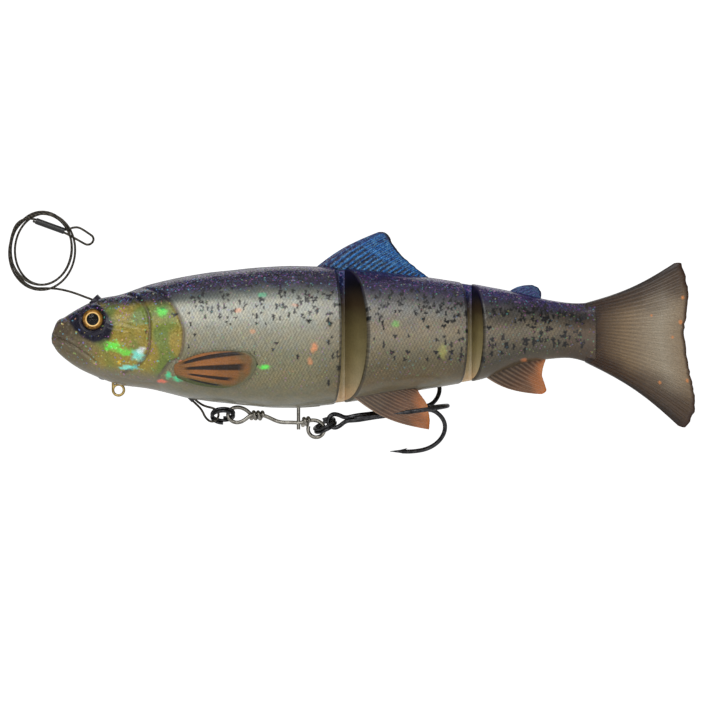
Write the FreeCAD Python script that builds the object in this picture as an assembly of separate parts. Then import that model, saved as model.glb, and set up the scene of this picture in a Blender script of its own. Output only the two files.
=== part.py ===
"""A line-through swimbait: soft body sections on two soft hinges, fins, eyes, leader, stinger and treble.

Millimetres, with +X towards the tail, +Z up and the bait's left flank at -Y. The dimensions are taken
from the nose tip on the centreline. The files are written with the centre of the chin eyelet as the origin.
"""
import FreeCAD, Part
import math
import os

from FreeCAD import Vector as V

os.makedirs("parts", exist_ok=True)

# --- Body: distance from the nose, back height, belly height, half-width, height of the widest point
BODY_STATIONS = [
    (0.35, 2.6, -0.4, 1.0, 1.2),
    (1.6, 5.7, -2.4, 2.5, 1.6),
    (4.4, 7.8, -5.2, 4.3, 1.8),
    (9.0, 10.6, -8.4, 6.3, 2.0),
    (14.0, 13.1, -10.7, 8.0, 2.0),
    (21.0, 14.6, -13.2, 9.9, 1.6),
    (31.0, 17.9, -14.6, 12.0, 1.8),
    (42.0, 20.4, -17.3, 13.4, 2.0),
    (57.0, 22.4, -19.3, 14.2, 2.0),
    (74.0, 23.6, -20.5, 14.2, 2.0),
    (91.0, 22.9, -18.9, 13.5, 2.2),
    (108.4, 21.1, -15.9, 12.2, 2.4),
    (122.4, 19.3, -13.7, 10.6, 2.6),
    (135.0, 17.3, -11.2, 8.8, 3.0),
    (145.7, 15.2, -6.9, 6.9, 3.6),
    (155.0, 13.0, -5.3, 4.9, 3.8),
    (162.0, 12.1, -5.1, 3.6, 3.6),
    (170.0, 12.4, -7.6, 2.9, 3.0),
]
SECTION_POINTS = 20
HELIX_STEPS = 8
SECTION_FULLNESS = 0.88

# --- Body joints
FRONT_HINGE_X = 88.2
REAR_HINGE_X = 128.6
TAIL_HINGE_X = 168.4
FRONT_RIM = [(88.0, 0.0), (90.6, 14.0)]
MIDDLE_NOSE = [(91.0, 0.0), (99.2, 14.0)]
MIDDLE_RIM = [(127.0, 0.0), (129.6, 10.4)]
REAR_NOSE = [(130.4, 0.0), (135.0, 10.4)]
WEB_THICKNESS = 2.2
MESH_THICKNESS = 0.4
MESH_REACH = 5.0
MESH_EDGE = 5.0
TAIL_ROOT_RADIUS = 2.2
TAIL_SEAT_CLEARANCE = 0.12
TAIL_HALF_THICKNESS = 1.9
TAIL_EDGE_HALF_THICKNESS = 0.65

# --- Eyes
EYE_X = 13.4
EYE_Z = 7.0
EYE_RADIUS = 3.6
IRIS_RADIUS = 3.3
IRIS_THICKNESS = 0.5
EYE_FLOOR_Y = 5.6
EYE_STAND_PROUD = 1.1

# --- Line tube, chin eyelet and ballast
TUBE_TOP = V(13.7, 0, 12.7)
TUBE_BOTTOM = V(44.9, 0, -18.5)
TUBE_OUTER_RADIUS = 1.6
TUBE_INNER_RADIUS = 1.2
TUBE_BEAD_RADIUS = 2.1
TUBE_BEAD_LENGTH = 0.9
EYELET_X = 21.0
EYELET_Z = -14.9
EYELET_HOLE_RADIUS = 1.3
EYELET_WIRE_RADIUS = 0.45
EYELET_COINING = 0.08
EYELET_LEG = 5.2
HEAD_BALLAST_RADIUS = 2.6
HEAD_BALLAST_X = (16.5, 27.5)
HEAD_BALLAST_Z = -9.2
BELLY_BALLAST_RADIUS = 3.2
BELLY_BALLAST_X = (52.0, 70.0)
BELLY_BALLAST_Z = -15.0

# --- Leader
LEADER_RADIUS = 0.35
COIL_CENTRE = V(-2.6, 0, 28.5)
COIL_RADIUS_X = 9.6
COIL_RADIUS_Z = 11.5
COIL_TURNS = 3.44
COIL_PITCH = 0.95
CRIMP_RADIUS = 1.0
STRAND_OFFSET = 0.42

# --- Split rings
RING_RADIUS = 3.4
RING_WIRE_RADIUS = 0.48
RING_PITCH = 1.0
FRONT_RING_CENTRE = V(53.4, 0, -22.7)
FRONT_RING_TILT = 30.0
REAR_RING_CENTRE = V(85.1, 0, -25.95)
REAR_RING_RISE = 22.0
REAR_RING_TURN = 16.0

# --- Stinger wire
STINGER_RADIUS = 0.6
WRAP_RADIUS = 1.02
REAR_LOOP_CENTRE = V(82.4, 0, -27.1)
REAR_LOOP_RADIUS = 2.5
PIN_X = 76.9
PIN_RADIUS = 0.55
PIN_TOP_Z = -17.0
PIN_BOTTOM_Z = -27.2
SOCKET_SIZE = (9.6, 4.4, 12.0)
SOCKET_X = 73.9
SOCKET_Z = -27.0
SLOT_WIDTH = 1.5
SLOT_FLARE = 6.2
SLOT_MOUTH_Z = -22.0

# --- Treble hook
HOOK_WIRE_RADIUS = 0.68
HOOK_GAP = 15.2
HOOK_EYE_CENTRE = V(88.2, 0, -24.5)
HOOK_EYE_RADIUS = 2.1
HOOK_RISE = 7.9
HOOK_YAW = 7.0
HOOK_ROLLS = (0, 120, 234)
SHANK_LENGTH = 26.0
SHANK_SPREAD = 0.8
SHANK_STATIONS = (3.4, 6.0, 11.0, 17.0, 22.0, SHANK_LENGTH)
BEND_ANGLES = (-62, -30, 0, 30, 60)
BEND_STRETCH = 1.12
POINT_LENGTH = 4.2


def spline(points, closed=False):
    """A smooth curve through the points, as an edge."""
    curve = Part.BSplineCurve()
    curve.interpolate(Points=points, PeriodicFlag=closed)
    return curve.toShape()


def arc_edge(start, corner, end):
    """The arc from start to end whose end tangents meet at the corner, or a line if it is straight."""
    middle = (start + end) * 0.5
    half_chord = (end - start).Length / 2
    height = (corner - middle).Length
    if height < 0.0005 * half_chord:
        return Part.makeLine(start, end)
    rise = half_chord * math.tan(math.atan(height / half_chord) / 2)
    crown = middle + (corner - middle) * (rise / height)
    return Part.Arc(start, crown, end).toShape()


def biarc(start, start_tangent, end, end_tangent):
    """Two circular arcs that join two points smoothly with the given tangents."""
    chord = end - start
    both = start_tangent + end_tangent
    square = 2 * start_tangent.dot(end_tangent) - 2
    linear = -2 * chord.dot(both)
    if abs(square) < 1e-9:
        reach = -chord.dot(chord) / linear
    else:
        reach = (-linear - math.sqrt(linear * linear - 4 * square * chord.dot(chord))) / (2 * square)
    first_corner = start + start_tangent * reach
    second_corner = end - end_tangent * reach
    joint = (first_corner + second_corner) * 0.5
    return [arc_edge(start, first_corner, joint), arc_edge(joint, second_corner, end)]


def rod(points, radius):
    """Round wire along a smooth curve through the points, made of arcs that meet smoothly."""
    curve = Part.BSplineCurve()
    curve.interpolate(Points=points)
    tangents = [curve.tangent(knot)[0] for knot in curve.getKnots()]
    edges = []
    for i in range(len(points) - 1):
        edges += biarc(points[i], tangents[i], points[i + 1], tangents[i + 1])
    profile = Part.Wire([Part.makeCircle(radius, points[0], tangents[0])])
    faces = [Part.Face(profile)]
    for edge in edges:
        sweep = Part.BRepOffsetAPI.MakePipeShell(Part.Wire([edge]))
        sweep.add(profile, False, False)
        sweep.build()
        faces += sweep.shape().Faces
        profile = Part.Wire(sweep.lastShape().Edges)
    faces.append(Part.Face(profile))
    skin = Part.Compound(faces)
    skin.sewShape()
    wire = Part.Solid(skin.Shells[0])
    return wire if wire.Volume > 0 else wire.reversed()


def helix_points(radius, pitch, turns, start_angle=0.0):
    """Points along a helix about +Z that starts at the origin's height."""
    steps = int(turns * HELIX_STEPS)
    points = []
    for i in range(steps + 1):
        angle = start_angle + 2 * math.pi * i / HELIX_STEPS
        points.append(V(radius * math.cos(angle), radius * math.sin(angle), pitch * i / HELIX_STEPS))
    return points


def cylinder_between(a, b, radius):
    """A cylinder from point a to point b."""
    return Part.makeCylinder(radius, (b - a).Length, a, b - a)


def plate(outline, y_low, y_high):
    """A flat plate in the XZ plane; the outline is a list of curves, each a list of (x, z) points."""
    edges = []
    for curve in outline:
        points = [V(x, y_low, z) for x, z in curve]
        if len(points) == 2:
            edges.append(Part.makeLine(points[0], points[1]))
        else:
            edges.append(spline(points))
    face = Part.Face(Part.Wire(edges))
    return face.extrude(V(0, y_high - y_low, 0))


def plan_prism(corners):
    """A tall prism whose plan is the given (x, y) corners."""
    points = [V(x, y, -60) for x, y in corners]
    face = Part.Face(Part.makePolygon(points + points[:1]))
    return face.extrude(V(0, 0, 120))


SLIVER_VOLUME = 0.05


def save(name, shape):
    """Write one node, without slivers and with the chin eyelet's centre as its origin."""
    solids = [solid for solid in shape.Solids if solid.Volume > SLIVER_VOLUME]
    shape = solids[0] if len(solids) == 1 else Part.makeCompound(solids)
    shape.translate(V(-EYELET_X, 0, -EYELET_Z))
    shape.exportStep("parts/" + name + ".step")


# ---------------------------------------------------------------- body


def body_section(x, top, bottom, half_width, widest_z):
    """A closed fish section: two half ovals that meet at the widest point."""
    points = []
    for i in range(SECTION_POINTS):
        angle = 2 * math.pi * i / SECTION_POINTS
        across = math.cos(angle)
        up = math.sin(angle)
        y = half_width * math.copysign(abs(across) ** SECTION_FULLNESS, across)
        height = top - widest_z if up > 0 else widest_z - bottom
        points.append(V(x, y, widest_z + height * up))
    return Part.Wire([spline(points, closed=True)])


def make_body():
    """The whole body before it is cut into sections."""
    return Part.makeLoft([body_section(*station) for station in BODY_STATIONS], True, False)


def line_at(line, y):
    """Where a straight plan line, given by two (x, y) points, reaches the distance y."""
    (x0, y0), (x1, y1) = line
    return x0 + (x1 - x0) * (y - y0) / (y1 - y0)


def chevron(front_line, rear_line):
    """A prism between two V-shaped faces; None leaves an end open."""
    reach = 24
    front = (-20, -20) if front_line is None else (line_at(front_line, 0), line_at(front_line, reach))
    rear = (240, 240) if rear_line is None else (line_at(rear_line, 0), line_at(rear_line, reach))
    left = [(rear[0], 0), (rear[1], -reach), (front[1], -reach)]
    right = [(front[0], 0), (front[1], reach), (rear[1], reach)]
    corners = right + left
    return plan_prism(corners)


def hinge_parts(body, front_line, rear_line):
    """The soft web that joins two sections, and the mesh strip through it."""
    x0 = front_line[0][0]
    x1 = rear_line[0][0]
    gap = chevron(front_line, rear_line)
    slab = Part.makeBox(30, WEB_THICKNESS, 120, V(x0 - 10, -WEB_THICKNESS / 2, -60))
    web = body.common(gap).common(slab)
    heights = [point.z for point in web.tessellate(0.2)[0]]
    low = min(heights) + MESH_EDGE
    size = (x1 - x0 + 2 * MESH_REACH, MESH_THICKNESS, max(heights) - MESH_EDGE - low)
    mesh = Part.makeBox(*size, V(x0 - MESH_REACH, -MESH_THICKNESS / 2, low))
    return web.cut(mesh), mesh


body = make_body()
front_body = body.common(chevron(None, FRONT_RIM))
middle_body = body.common(chevron(MIDDLE_NOSE, MIDDLE_RIM))
rear_body = body.common(chevron(REAR_NOSE, [(TAIL_HINGE_X - 0.5, 0), (TAIL_HINGE_X - 0.5, 1)]))
front_web, front_mesh = hinge_parts(body, FRONT_RIM, MIDDLE_NOSE)
rear_web, rear_mesh = hinge_parts(body, MIDDLE_RIM, REAR_NOSE)
front_body = front_body.cut(front_mesh)
middle_body = middle_body.cut(front_mesh).cut(rear_mesh)
rear_body = rear_body.cut(rear_mesh)


# ---------------------------------------------------------------- fins

DORSAL_FIN = [
    [(82.3, 23.8), (86.6, 26.4), (92.9, 30.0), (97.8, 32.9), (100.6, 34.0), (103.4, 34.2), (105.0, 32.9)],
    [(105.0, 32.9), (105.6, 31.1), (107.5, 28.6), (111.5, 24.6), (114.6, 21.6), (117.1, 20.3)],
    [(117.1, 20.3), (115.0, 17.5)],
    [(115.0, 17.5), (91.5, 17.5)],
    [(91.5, 17.5), (91.5, 23.5)],
    [(91.5, 23.5), (82.3, 23.8)],
]
ADIPOSE_FIN = [
    [(141.0, 15.4), (144.1, 17.1), (147.2, 17.7), (149.7, 17.7), (151.2, 16.8), (152.2, 15.2)],
    [(152.2, 15.2), (152.2, 12.0)],
    [(152.2, 12.0), (141.0, 12.0)],
    [(141.0, 12.0), (141.0, 15.4)],
]
ANAL_FIN = [
    [(133.9, -11.6), (139.4, -14.3), (145.7, -15.7), (150.3, -16.1), (152.8, -16.1), (153.9, -14.9)],
    [(153.9, -14.9), (152.6, -10.5), (152.7, -7.6), (153.7, -5.4)],
    [(153.7, -5.4), (151.0, -2.0)],
    [(151.0, -2.0), (134.5, -7.0)],
    [(134.5, -7.0), (133.9, -11.6)],
]
PELVIC_FIN = [
    [(93.5, -16.9), (97.5, -18.9), (101.1, -21.6), (105.2, -24.2), (109.8, -25.5), (117.3, -27.3)],
    [(117.3, -27.3), (117.5, -23.3), (116.9, -20.2), (115.5, -17.0), (113.4, -15.2)],
    [(113.4, -15.2), (111.0, -11.0)],
    [(111.0, -11.0), (95.0, -11.0)],
    [(95.0, -11.0), (93.5, -16.9)],
]
PECTORAL_FIN = [
    [(38.8, -7.5), (43.2, -5.3), (49.4, -3.4), (54.0, -2.9), (58.7, -2.9), (62.4, -3.7), (64.3, -6.2)],
    [(64.3, -6.2), (63.7, -8.7), (60.6, -12.4), (54.0, -14.3), (46.3, -12.8), (41.0, -12.0), (39.0, -10.2)],
    [(39.0, -10.2), (38.8, -7.5)],
]
TAIL_FIN = [
    [(168.4, 12.3), (170.5, 12.9), (176.7, 15.2), (182.9, 18.3), (189.1, 22.0), (195.6, 25.5)],
    [(195.6, 25.5), (197.3, 20.2), (198.1, 13.0), (196.9, 3.1)],
    [(196.9, 3.1), (197.5, -2.5), (199.4, -13.3), (200.0, -19.6), (199.1, -24.2), (196.6, -27.5)],
    [(196.6, -27.5), (190.7, -23.9), (182.9, -17.7), (176.7, -12.4), (170.5, -8.6), (168.4, -7.4)],
    [(168.4, -7.4), (168.4, 12.3)],
]
MEDIAN_FIN_HALF = 0.8
PELVIC_INNER_Y = 3.6
PELVIC_OUTER_Y = 4.7
PELVIC_HINGE_Z = -15.0
PELVIC_SPLAY = 14.0
PECTORAL_GAP = 0.3
PECTORAL_THICKNESS = 1.3
PECTORAL_ROOT_X = 42.0
TAIL_END_X = 201.0


def mirrored(shape):
    """The same shape on the other flank."""
    return shape.mirror(V(0, 0, 0), V(0, 1, 0))


def make_pectoral():
    """A thin fin that lies along the left flank, joined to it only at its root."""
    outline = plate(PECTORAL_FIN, -19, -4)
    outer = body.copy()
    outer.translate(V(0, -PECTORAL_GAP - PECTORAL_THICKNESS, 0))
    inner = body.copy()
    inner.translate(V(0, -PECTORAL_GAP, 0))
    root_box = Part.makeBox(PECTORAL_ROOT_X, 40, 80, V(0, -40, -40))
    blade = outline.common(outer).cut(inner)
    root = outline.common(outer).common(root_box).cut(body)
    return blade.fuse(root).removeSplitter()


def make_tail():
    """A tapering blade on a round root that turns in the seat at the end of the body."""
    x0 = TAIL_HINGE_X
    thick = TAIL_HALF_THICKNESS
    thin = TAIL_EDGE_HALF_THICKNESS
    wedge = plan_prism([(x0, -thick), (TAIL_END_X, -thin), (TAIL_END_X, thin), (x0, thick)])
    blade = plate(TAIL_FIN, -5, 5).common(wedge)
    low = TAIL_FIN[4][0][1] + 0.4
    high = TAIL_FIN[4][1][1] - 0.4
    root = Part.makeCylinder(TAIL_ROOT_RADIUS, high - low, V(x0, 0, low))
    return blade.fuse(root)


dorsal_fin = plate(DORSAL_FIN, -MEDIAN_FIN_HALF, MEDIAN_FIN_HALF).cut(body)
adipose_fin = plate(ADIPOSE_FIN, -MEDIAN_FIN_HALF, MEDIAN_FIN_HALF).cut(body)
anal_fin = plate(ANAL_FIN, -MEDIAN_FIN_HALF, MEDIAN_FIN_HALF).cut(body)
left_pelvic = plate(PELVIC_FIN, -PELVIC_OUTER_Y, -PELVIC_INNER_Y)
left_pelvic.rotate(V(0, -PELVIC_INNER_Y, PELVIC_HINGE_Z), V(1, 0, 0), -PELVIC_SPLAY)
left_pelvic = left_pelvic.cut(body)
left_pectoral = make_pectoral()
tail_fin = make_tail()
tail_seat = Part.makeCylinder(TAIL_ROOT_RADIUS + TAIL_SEAT_CLEARANCE, 120, V(TAIL_HINGE_X, 0, -60))
rear_body = rear_body.cut(tail_seat)


# ---------------------------------------------------------------- pieces set into the front section


def eye_parts():
    """Socket, iris disc and clear dome of the left eye."""
    outward = V(0, -1, 0)
    floor = V(EYE_X, -EYE_FLOOR_Y, EYE_Z)
    socket = Part.makeCylinder(EYE_RADIUS, 10, floor, outward)
    iris = Part.makeCylinder(IRIS_RADIUS, IRIS_THICKNESS, floor, outward)
    base = floor + outward * IRIS_THICKNESS
    rise = EYE_STAND_PROUD + 1.0
    sphere_radius = (IRIS_RADIUS ** 2 + rise ** 2) / (2 * rise)
    ball = Part.makeSphere(sphere_radius, base + outward * (rise - sphere_radius))
    dome = ball.common(Part.makeCylinder(IRIS_RADIUS, 10, base, outward))
    return socket, iris, dome


def make_tube():
    """The sleeve that the leader slides in, with a small lip at its upper mouth."""
    axis = TUBE_BOTTOM - TUBE_TOP
    axis.normalize()
    top = TUBE_TOP - axis * 4
    bottom = TUBE_BOTTOM + axis * 4
    outer = cylinder_between(top, bottom, TUBE_OUTER_RADIUS)
    bore = cylinder_between(top, bottom, TUBE_INNER_RADIUS)
    lip_top = TUBE_TOP - axis * TUBE_BEAD_LENGTH
    lip = cylinder_between(lip_top, TUBE_TOP + axis * 3, TUBE_BEAD_RADIUS).cut(body)
    sleeve = outer.common(body).fuse(lip).removeSplitter().cut(bore)
    return sleeve, outer


def make_eyelet():
    """A wire ring below the chin with two legs up into the ballast; its hole is coined to a flat land."""
    centre = V(EYELET_X, 0, EYELET_Z)
    major = EYELET_HOLE_RADIUS + EYELET_WIRE_RADIUS - EYELET_COINING
    ring = Part.makeTorus(major, EYELET_WIRE_RADIUS, centre, V(0, 1, 0))
    for side in (-1, 1):
        foot = centre + V(side * major, 0, 0)
        ring = ring.fuse(cylinder_between(foot, foot + V(0, 0, EYELET_LEG), EYELET_WIRE_RADIUS))
    hole = Part.makeCylinder(EYELET_HOLE_RADIUS, 2, centre - V(0, 1, 0), V(0, 1, 0))
    return ring.cut(hole)


def make_ballast(x_range, z, radius):
    """A round-ended bar along the centreline."""
    ends = [V(x, 0, z) for x in x_range]
    bar = cylinder_between(ends[0], ends[1], radius)
    return bar.fuse([Part.makeSphere(radius, end) for end in ends]).removeSplitter()


def make_pin_socket():
    """A firm insert in the belly with a flared slot, so that the pin can pull out rearward and down."""
    length, width, height = SOCKET_SIZE
    block = Part.makeBox(length, width, height, V(SOCKET_X, -width / 2, SOCKET_Z)).common(body)
    tip = PIN_TOP_Z + 0.3
    half_tip = SLOT_WIDTH / 2 + 0.1
    corners = [
        (PIN_X - half_tip, tip),
        (PIN_X + half_tip, tip),
        (PIN_X + SLOT_FLARE, SLOT_MOUTH_Z),
        (PIN_X - 1.3, SLOT_MOUTH_Z),
    ]
    face = Part.Face(Part.makePolygon([V(x, -SLOT_WIDTH / 2, z) for x, z in corners + corners[:1]]))
    slot = face.extrude(V(0, SLOT_WIDTH, 0))
    return block.cut(slot), block


eye_socket, left_iris, left_dome = eye_parts()
line_tube, tube_hole = make_tube()
chin_eyelet = make_eyelet()
head_ballast = make_ballast(HEAD_BALLAST_X, HEAD_BALLAST_Z, HEAD_BALLAST_RADIUS)
belly_ballast = make_ballast(BELLY_BALLAST_X, BELLY_BALLAST_Z, BELLY_BALLAST_RADIUS)
pin_socket, socket_block = make_pin_socket()
inset_pieces = [eye_socket, mirrored(eye_socket), tube_hole, chin_eyelet]
inset_pieces += [head_ballast, belly_ballast, socket_block]
for cutter in inset_pieces:
    front_body = front_body.cut(cutter)
head_ballast = head_ballast.cut(chin_eyelet)


# ---------------------------------------------------------------- leader and crimps

FRONT_CRIMP_START = V(-4.6, 0, 37.6)
FRONT_CRIMP_END = V(4.2, 0, 34.4)
REAR_CRIMP_LENGTH = 5.0
COIL_FIRST_ANGLE = -80.0
COIL_STEP = 30.0
COIL_SPREAD = 0.85
COIL_DRIFT = 0.5
FRONT_LOOP = [(7.8, 35.6), (11.0, 34.2), (13.2, 31.6), (12.2, 30.4), (9.2, 31.2), (6.2, 32.9)]
REAR_LOOP = [
    (46.9, -21.3),
    (48.2, -23.6),
    (50.2, -24.7),
    (51.8, -23.6),
    (51.9, -21.8),
    (50.4, -20.6),
    (48.2, -20.0),
]


def coil_points():
    """The spare leader, wound in slightly uneven oval turns in front of the head."""
    points = []
    steps = int(COIL_TURNS * 360 / COIL_STEP)
    for i in range(steps + 1):
        turn = i * COIL_STEP / 360
        angle = math.radians(COIL_FIRST_ANGLE - i * COIL_STEP)
        spread = COIL_SPREAD * math.sin(1.15 * turn * math.pi + 0.6)
        drift = COIL_DRIFT * math.sin(1.7 * turn * math.pi)
        x = COIL_CENTRE.x + drift + (COIL_RADIUS_X + spread) * math.cos(angle)
        z = COIL_CENTRE.z + (COIL_RADIUS_Z + spread) * math.sin(angle)
        points.append(V(x, (COIL_TURNS / 2 - turn) * COIL_PITCH, z))
    return points


def leader_points():
    """From the tag in the rear crimp, round the rear loop, up the tube and the coil, to the front tag."""
    down = TUBE_BOTTOM - TUBE_TOP
    down.normalize()
    side = V(down.z, 0, -down.x) * STRAND_OFFSET
    crimp_top = TUBE_BOTTOM - down * (REAR_CRIMP_LENGTH + 0.6)
    points = [crimp_top + side + down * t for t in (-0.4, 2.8)]
    points.append(TUBE_BOTTOM + side)
    points += [V(x, 0, z) for x, z in REAR_LOOP]
    points += [TUBE_BOTTOM - side, crimp_top - side + down * 2.8, crimp_top - side]
    points += [TUBE_BOTTOM - down * t for t in (10, 20, 30, 40)]
    points += [V(13.9, 0, 12.6), V(11.4, 0, 13.7), V(7.0, 0.6, 15.3)]
    points += coil_points()
    along = FRONT_CRIMP_END - FRONT_CRIMP_START
    along.normalize()
    offset = V(-along.z, 0, along.x) * STRAND_OFFSET
    points += [FRONT_CRIMP_START + offset + along * t for t in (0.4, 3.2, 6.4, 9.2)]
    points += [V(x, 0, z) for x, z in FRONT_LOOP]
    points += [FRONT_CRIMP_START - offset + along * t for t in (9.2, 6.4, 3.2, -0.9)]
    return points


def make_crimps(leader):
    """Two sleeves pressed over both strands of the leader, one at each loop."""
    down = TUBE_BOTTOM - TUBE_TOP
    down.normalize()
    rear_end = TUBE_BOTTOM - down * 0.6
    rear = cylinder_between(rear_end - down * REAR_CRIMP_LENGTH, rear_end, CRIMP_RADIUS)
    front = cylinder_between(FRONT_CRIMP_START, FRONT_CRIMP_END, CRIMP_RADIUS)
    return front.cut(leader), rear.cut(leader)


leader_wire = rod(leader_points(), LEADER_RADIUS)
front_crimp, rear_crimp = make_crimps(leader_wire)


# ---------------------------------------------------------------- split rings, stinger and treble


def split_ring(centre, x_direction, normal):
    """Two close turns of round wire about the normal, with the ends a quarter turn from the linked loops."""
    turn = FreeCAD.Rotation(x_direction, V(), normal, "ZXY")
    points = []
    for point in helix_points(RING_RADIUS, RING_PITCH, 2, math.pi / 2):
        points.append(centre + turn.multVec(point - V(0, 0, RING_PITCH)))
    return rod(points, RING_WIRE_RADIUS)


def make_stinger():
    """Bright wire bent into a front loop, wraps, a belly pin, more wraps and a rear loop."""
    front_loop = [(61.9, 1.3, -22.4), (60.0, 0.9, -20.8), (57.6, 0.5, -20.3), (55.7, 0.2, -21.1)]
    points = [V(*point) for point in front_loop]
    lower_side = [(55.0, -22.4), (55.7, -24.1), (57.6, -25.0), (60.0, -24.3), (62.0, -22.9), (65.0, -22.6)]
    line = [(68.0, -23.6), (71.0, -24.8), (74.4, -25.0), (78.5, -24.9), (80.4, -24.4)]
    points += [V(x, 0, z) for x, z in lower_side + line]
    for angle in (60, 15, -30, -75, -120, -165, -205):
        a = math.radians(angle)
        points.append(REAR_LOOP_CENTRE + V(math.cos(a), 0.0, math.sin(a)) * REAR_LOOP_RADIUS)
    wire = rod(points, STINGER_RADIUS)
    wire = wire.fuse(wrap_coil(V(62.3, 0, -22.75), V(66.0, 0, -22.85), 2.75))
    wire = wire.fuse(wrap_coil(V(78.1, 0, -24.9), V(80.4, 0, -24.55), 1.75))
    shoulder = PIN_TOP_Z - 1.2
    pin = Part.makeCylinder(PIN_RADIUS, shoulder - PIN_BOTTOM_Z, V(PIN_X, 0.05, PIN_BOTTOM_Z))
    tip = Part.makeCone(PIN_RADIUS, 0.2, 1.2, V(PIN_X, 0.05, shoulder))
    return wire.fuse(pin.fuse(tip))


def wrap_coil(start, end, turns):
    """The tag of the wire wound tightly round the main wire."""
    along = end - start
    turn = FreeCAD.Rotation(V(0, 0, 1), along)
    helix = helix_points(WRAP_RADIUS, along.Length / turns, turns)
    points = [start + turn.multVec(point) for point in helix]
    return rod(points, STINGER_RADIUS)


def hook_place(along, y, z):
    """Turns the hook's own coordinates, along and across its shank, into the bait's."""
    rise = math.radians(HOOK_RISE)
    yaw = math.radians(HOOK_YAW)
    x = along * math.cos(rise) - z * math.sin(rise)
    z = along * math.sin(rise) + z * math.cos(rise)
    turned = V(x * math.cos(yaw) - y * math.sin(yaw), x * math.sin(yaw) + y * math.cos(yaw), z)
    return HOOK_EYE_CENTRE + turned


def hook_points(roll, shank_stations):
    """One hook from its shank round the bend to the start of its point; roll turns it about the shank."""
    radius = HOOK_GAP / 2
    path = [(along, SHANK_SPREAD) for along in shank_stations]
    for angle in BEND_ANGLES:
        a = math.radians(angle)
        path.append((SHANK_LENGTH + BEND_STRETCH * radius * math.cos(a), radius + radius * math.sin(a)))
    path += [(SHANK_LENGTH - 2.6, HOOK_GAP - 0.1), (SHANK_LENGTH - 5.5, HOOK_GAP - 0.6)]
    a = math.radians(roll)
    return [hook_place(along, -out * math.cos(a), -out * math.sin(a)) for along, out in path]


def hook_tip(points):
    """The sharpened end of a hook and its barb, for a hook whose points run to its tip."""
    end = points[-1]
    along = end - points[-2]
    along.normalize()
    inward = points[0] - end
    inward = inward - along * inward.dot(along)
    inward.normalize()
    cone = Part.makeCone(0.96 * HOOK_WIRE_RADIUS, 0.08, POINT_LENGTH, end - along * 0.3, along)
    barb = Part.makeCone(0.42, 0.06, 2.3, end + inward * 0.15 + along * 0.5, inward * 0.5 - along)
    return [cone, barb]


def make_treble():
    """A double hook bent from one wire round its eye, and a third hook brazed between the two shanks."""
    lower = hook_points(HOOK_ROLLS[1], SHANK_STATIONS)
    upper = hook_points(HOOK_ROLLS[2], SHANK_STATIONS)
    eye = []
    for angle in (-62, -100, -140, 180, 140, 100, 62):
        a = math.radians(angle)
        eye.append(hook_place(HOOK_EYE_RADIUS * math.cos(a), 0.0, HOOK_EYE_RADIUS * math.sin(a)))
    double = rod(lower[::-1] + eye + upper, HOOK_WIRE_RADIUS)
    double = double.fuse(hook_tip(lower) + hook_tip(upper))
    near = hook_points(HOOK_ROLLS[0], SHANK_STATIONS[1:])
    third = rod(near, HOOK_WIRE_RADIUS).fuse(hook_tip(near))
    return double, third


front_tilt = math.radians(FRONT_RING_TILT)
front_ring = split_ring(FRONT_RING_CENTRE, V(1, 0, 0), V(0, math.sin(front_tilt), math.cos(front_tilt)))
rise = math.radians(REAR_RING_RISE)
turn = math.radians(REAR_RING_TURN)
flat_normal = V(-math.sin(rise), 0, math.cos(rise)) * math.cos(turn)
rear_ring = split_ring(
    REAR_RING_CENTRE, V(math.cos(rise), 0, math.sin(rise)), flat_normal + V(0, -math.sin(turn), 0)
)
stinger_wire = make_stinger()
treble_double_hook, treble_third_hook = make_treble()


# ---------------------------------------------------------------- output

NODES = {
    "front_body": front_body,
    "left_pectoral_fin": left_pectoral,
    "right_pectoral_fin": mirrored(left_pectoral),
    "left_eye_iris": left_iris,
    "right_eye_iris": mirrored(left_iris),
    "left_eye_dome": left_dome,
    "right_eye_dome": mirrored(left_dome),
    "chin_eyelet": chin_eyelet,
    "head_ballast": head_ballast,
    "belly_ballast": belly_ballast,
    "line_tube": line_tube,
    "pin_socket": pin_socket,
    "front_hinge_web": front_web,
    "front_hinge_mesh": front_mesh,
    "middle_body": middle_body,
    "dorsal_fin": dorsal_fin,
    "left_pelvic_fin": left_pelvic,
    "right_pelvic_fin": mirrored(left_pelvic),
    "rear_hinge_web": rear_web,
    "rear_hinge_mesh": rear_mesh,
    "rear_body": rear_body,
    "adipose_fin": adipose_fin,
    "anal_fin": anal_fin,
    "tail_fin": tail_fin,
    "leader_wire": leader_wire,
    "front_crimp": front_crimp,
    "rear_crimp": rear_crimp,
    "front_ring": front_ring,
    "stinger_wire": stinger_wire,
    "rear_ring": rear_ring,
    "treble_double_hook": treble_double_hook,
    "treble_third_hook": treble_third_hook,
}

for name, shape in NODES.items():
    save(name, shape)
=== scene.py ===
import math

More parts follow.
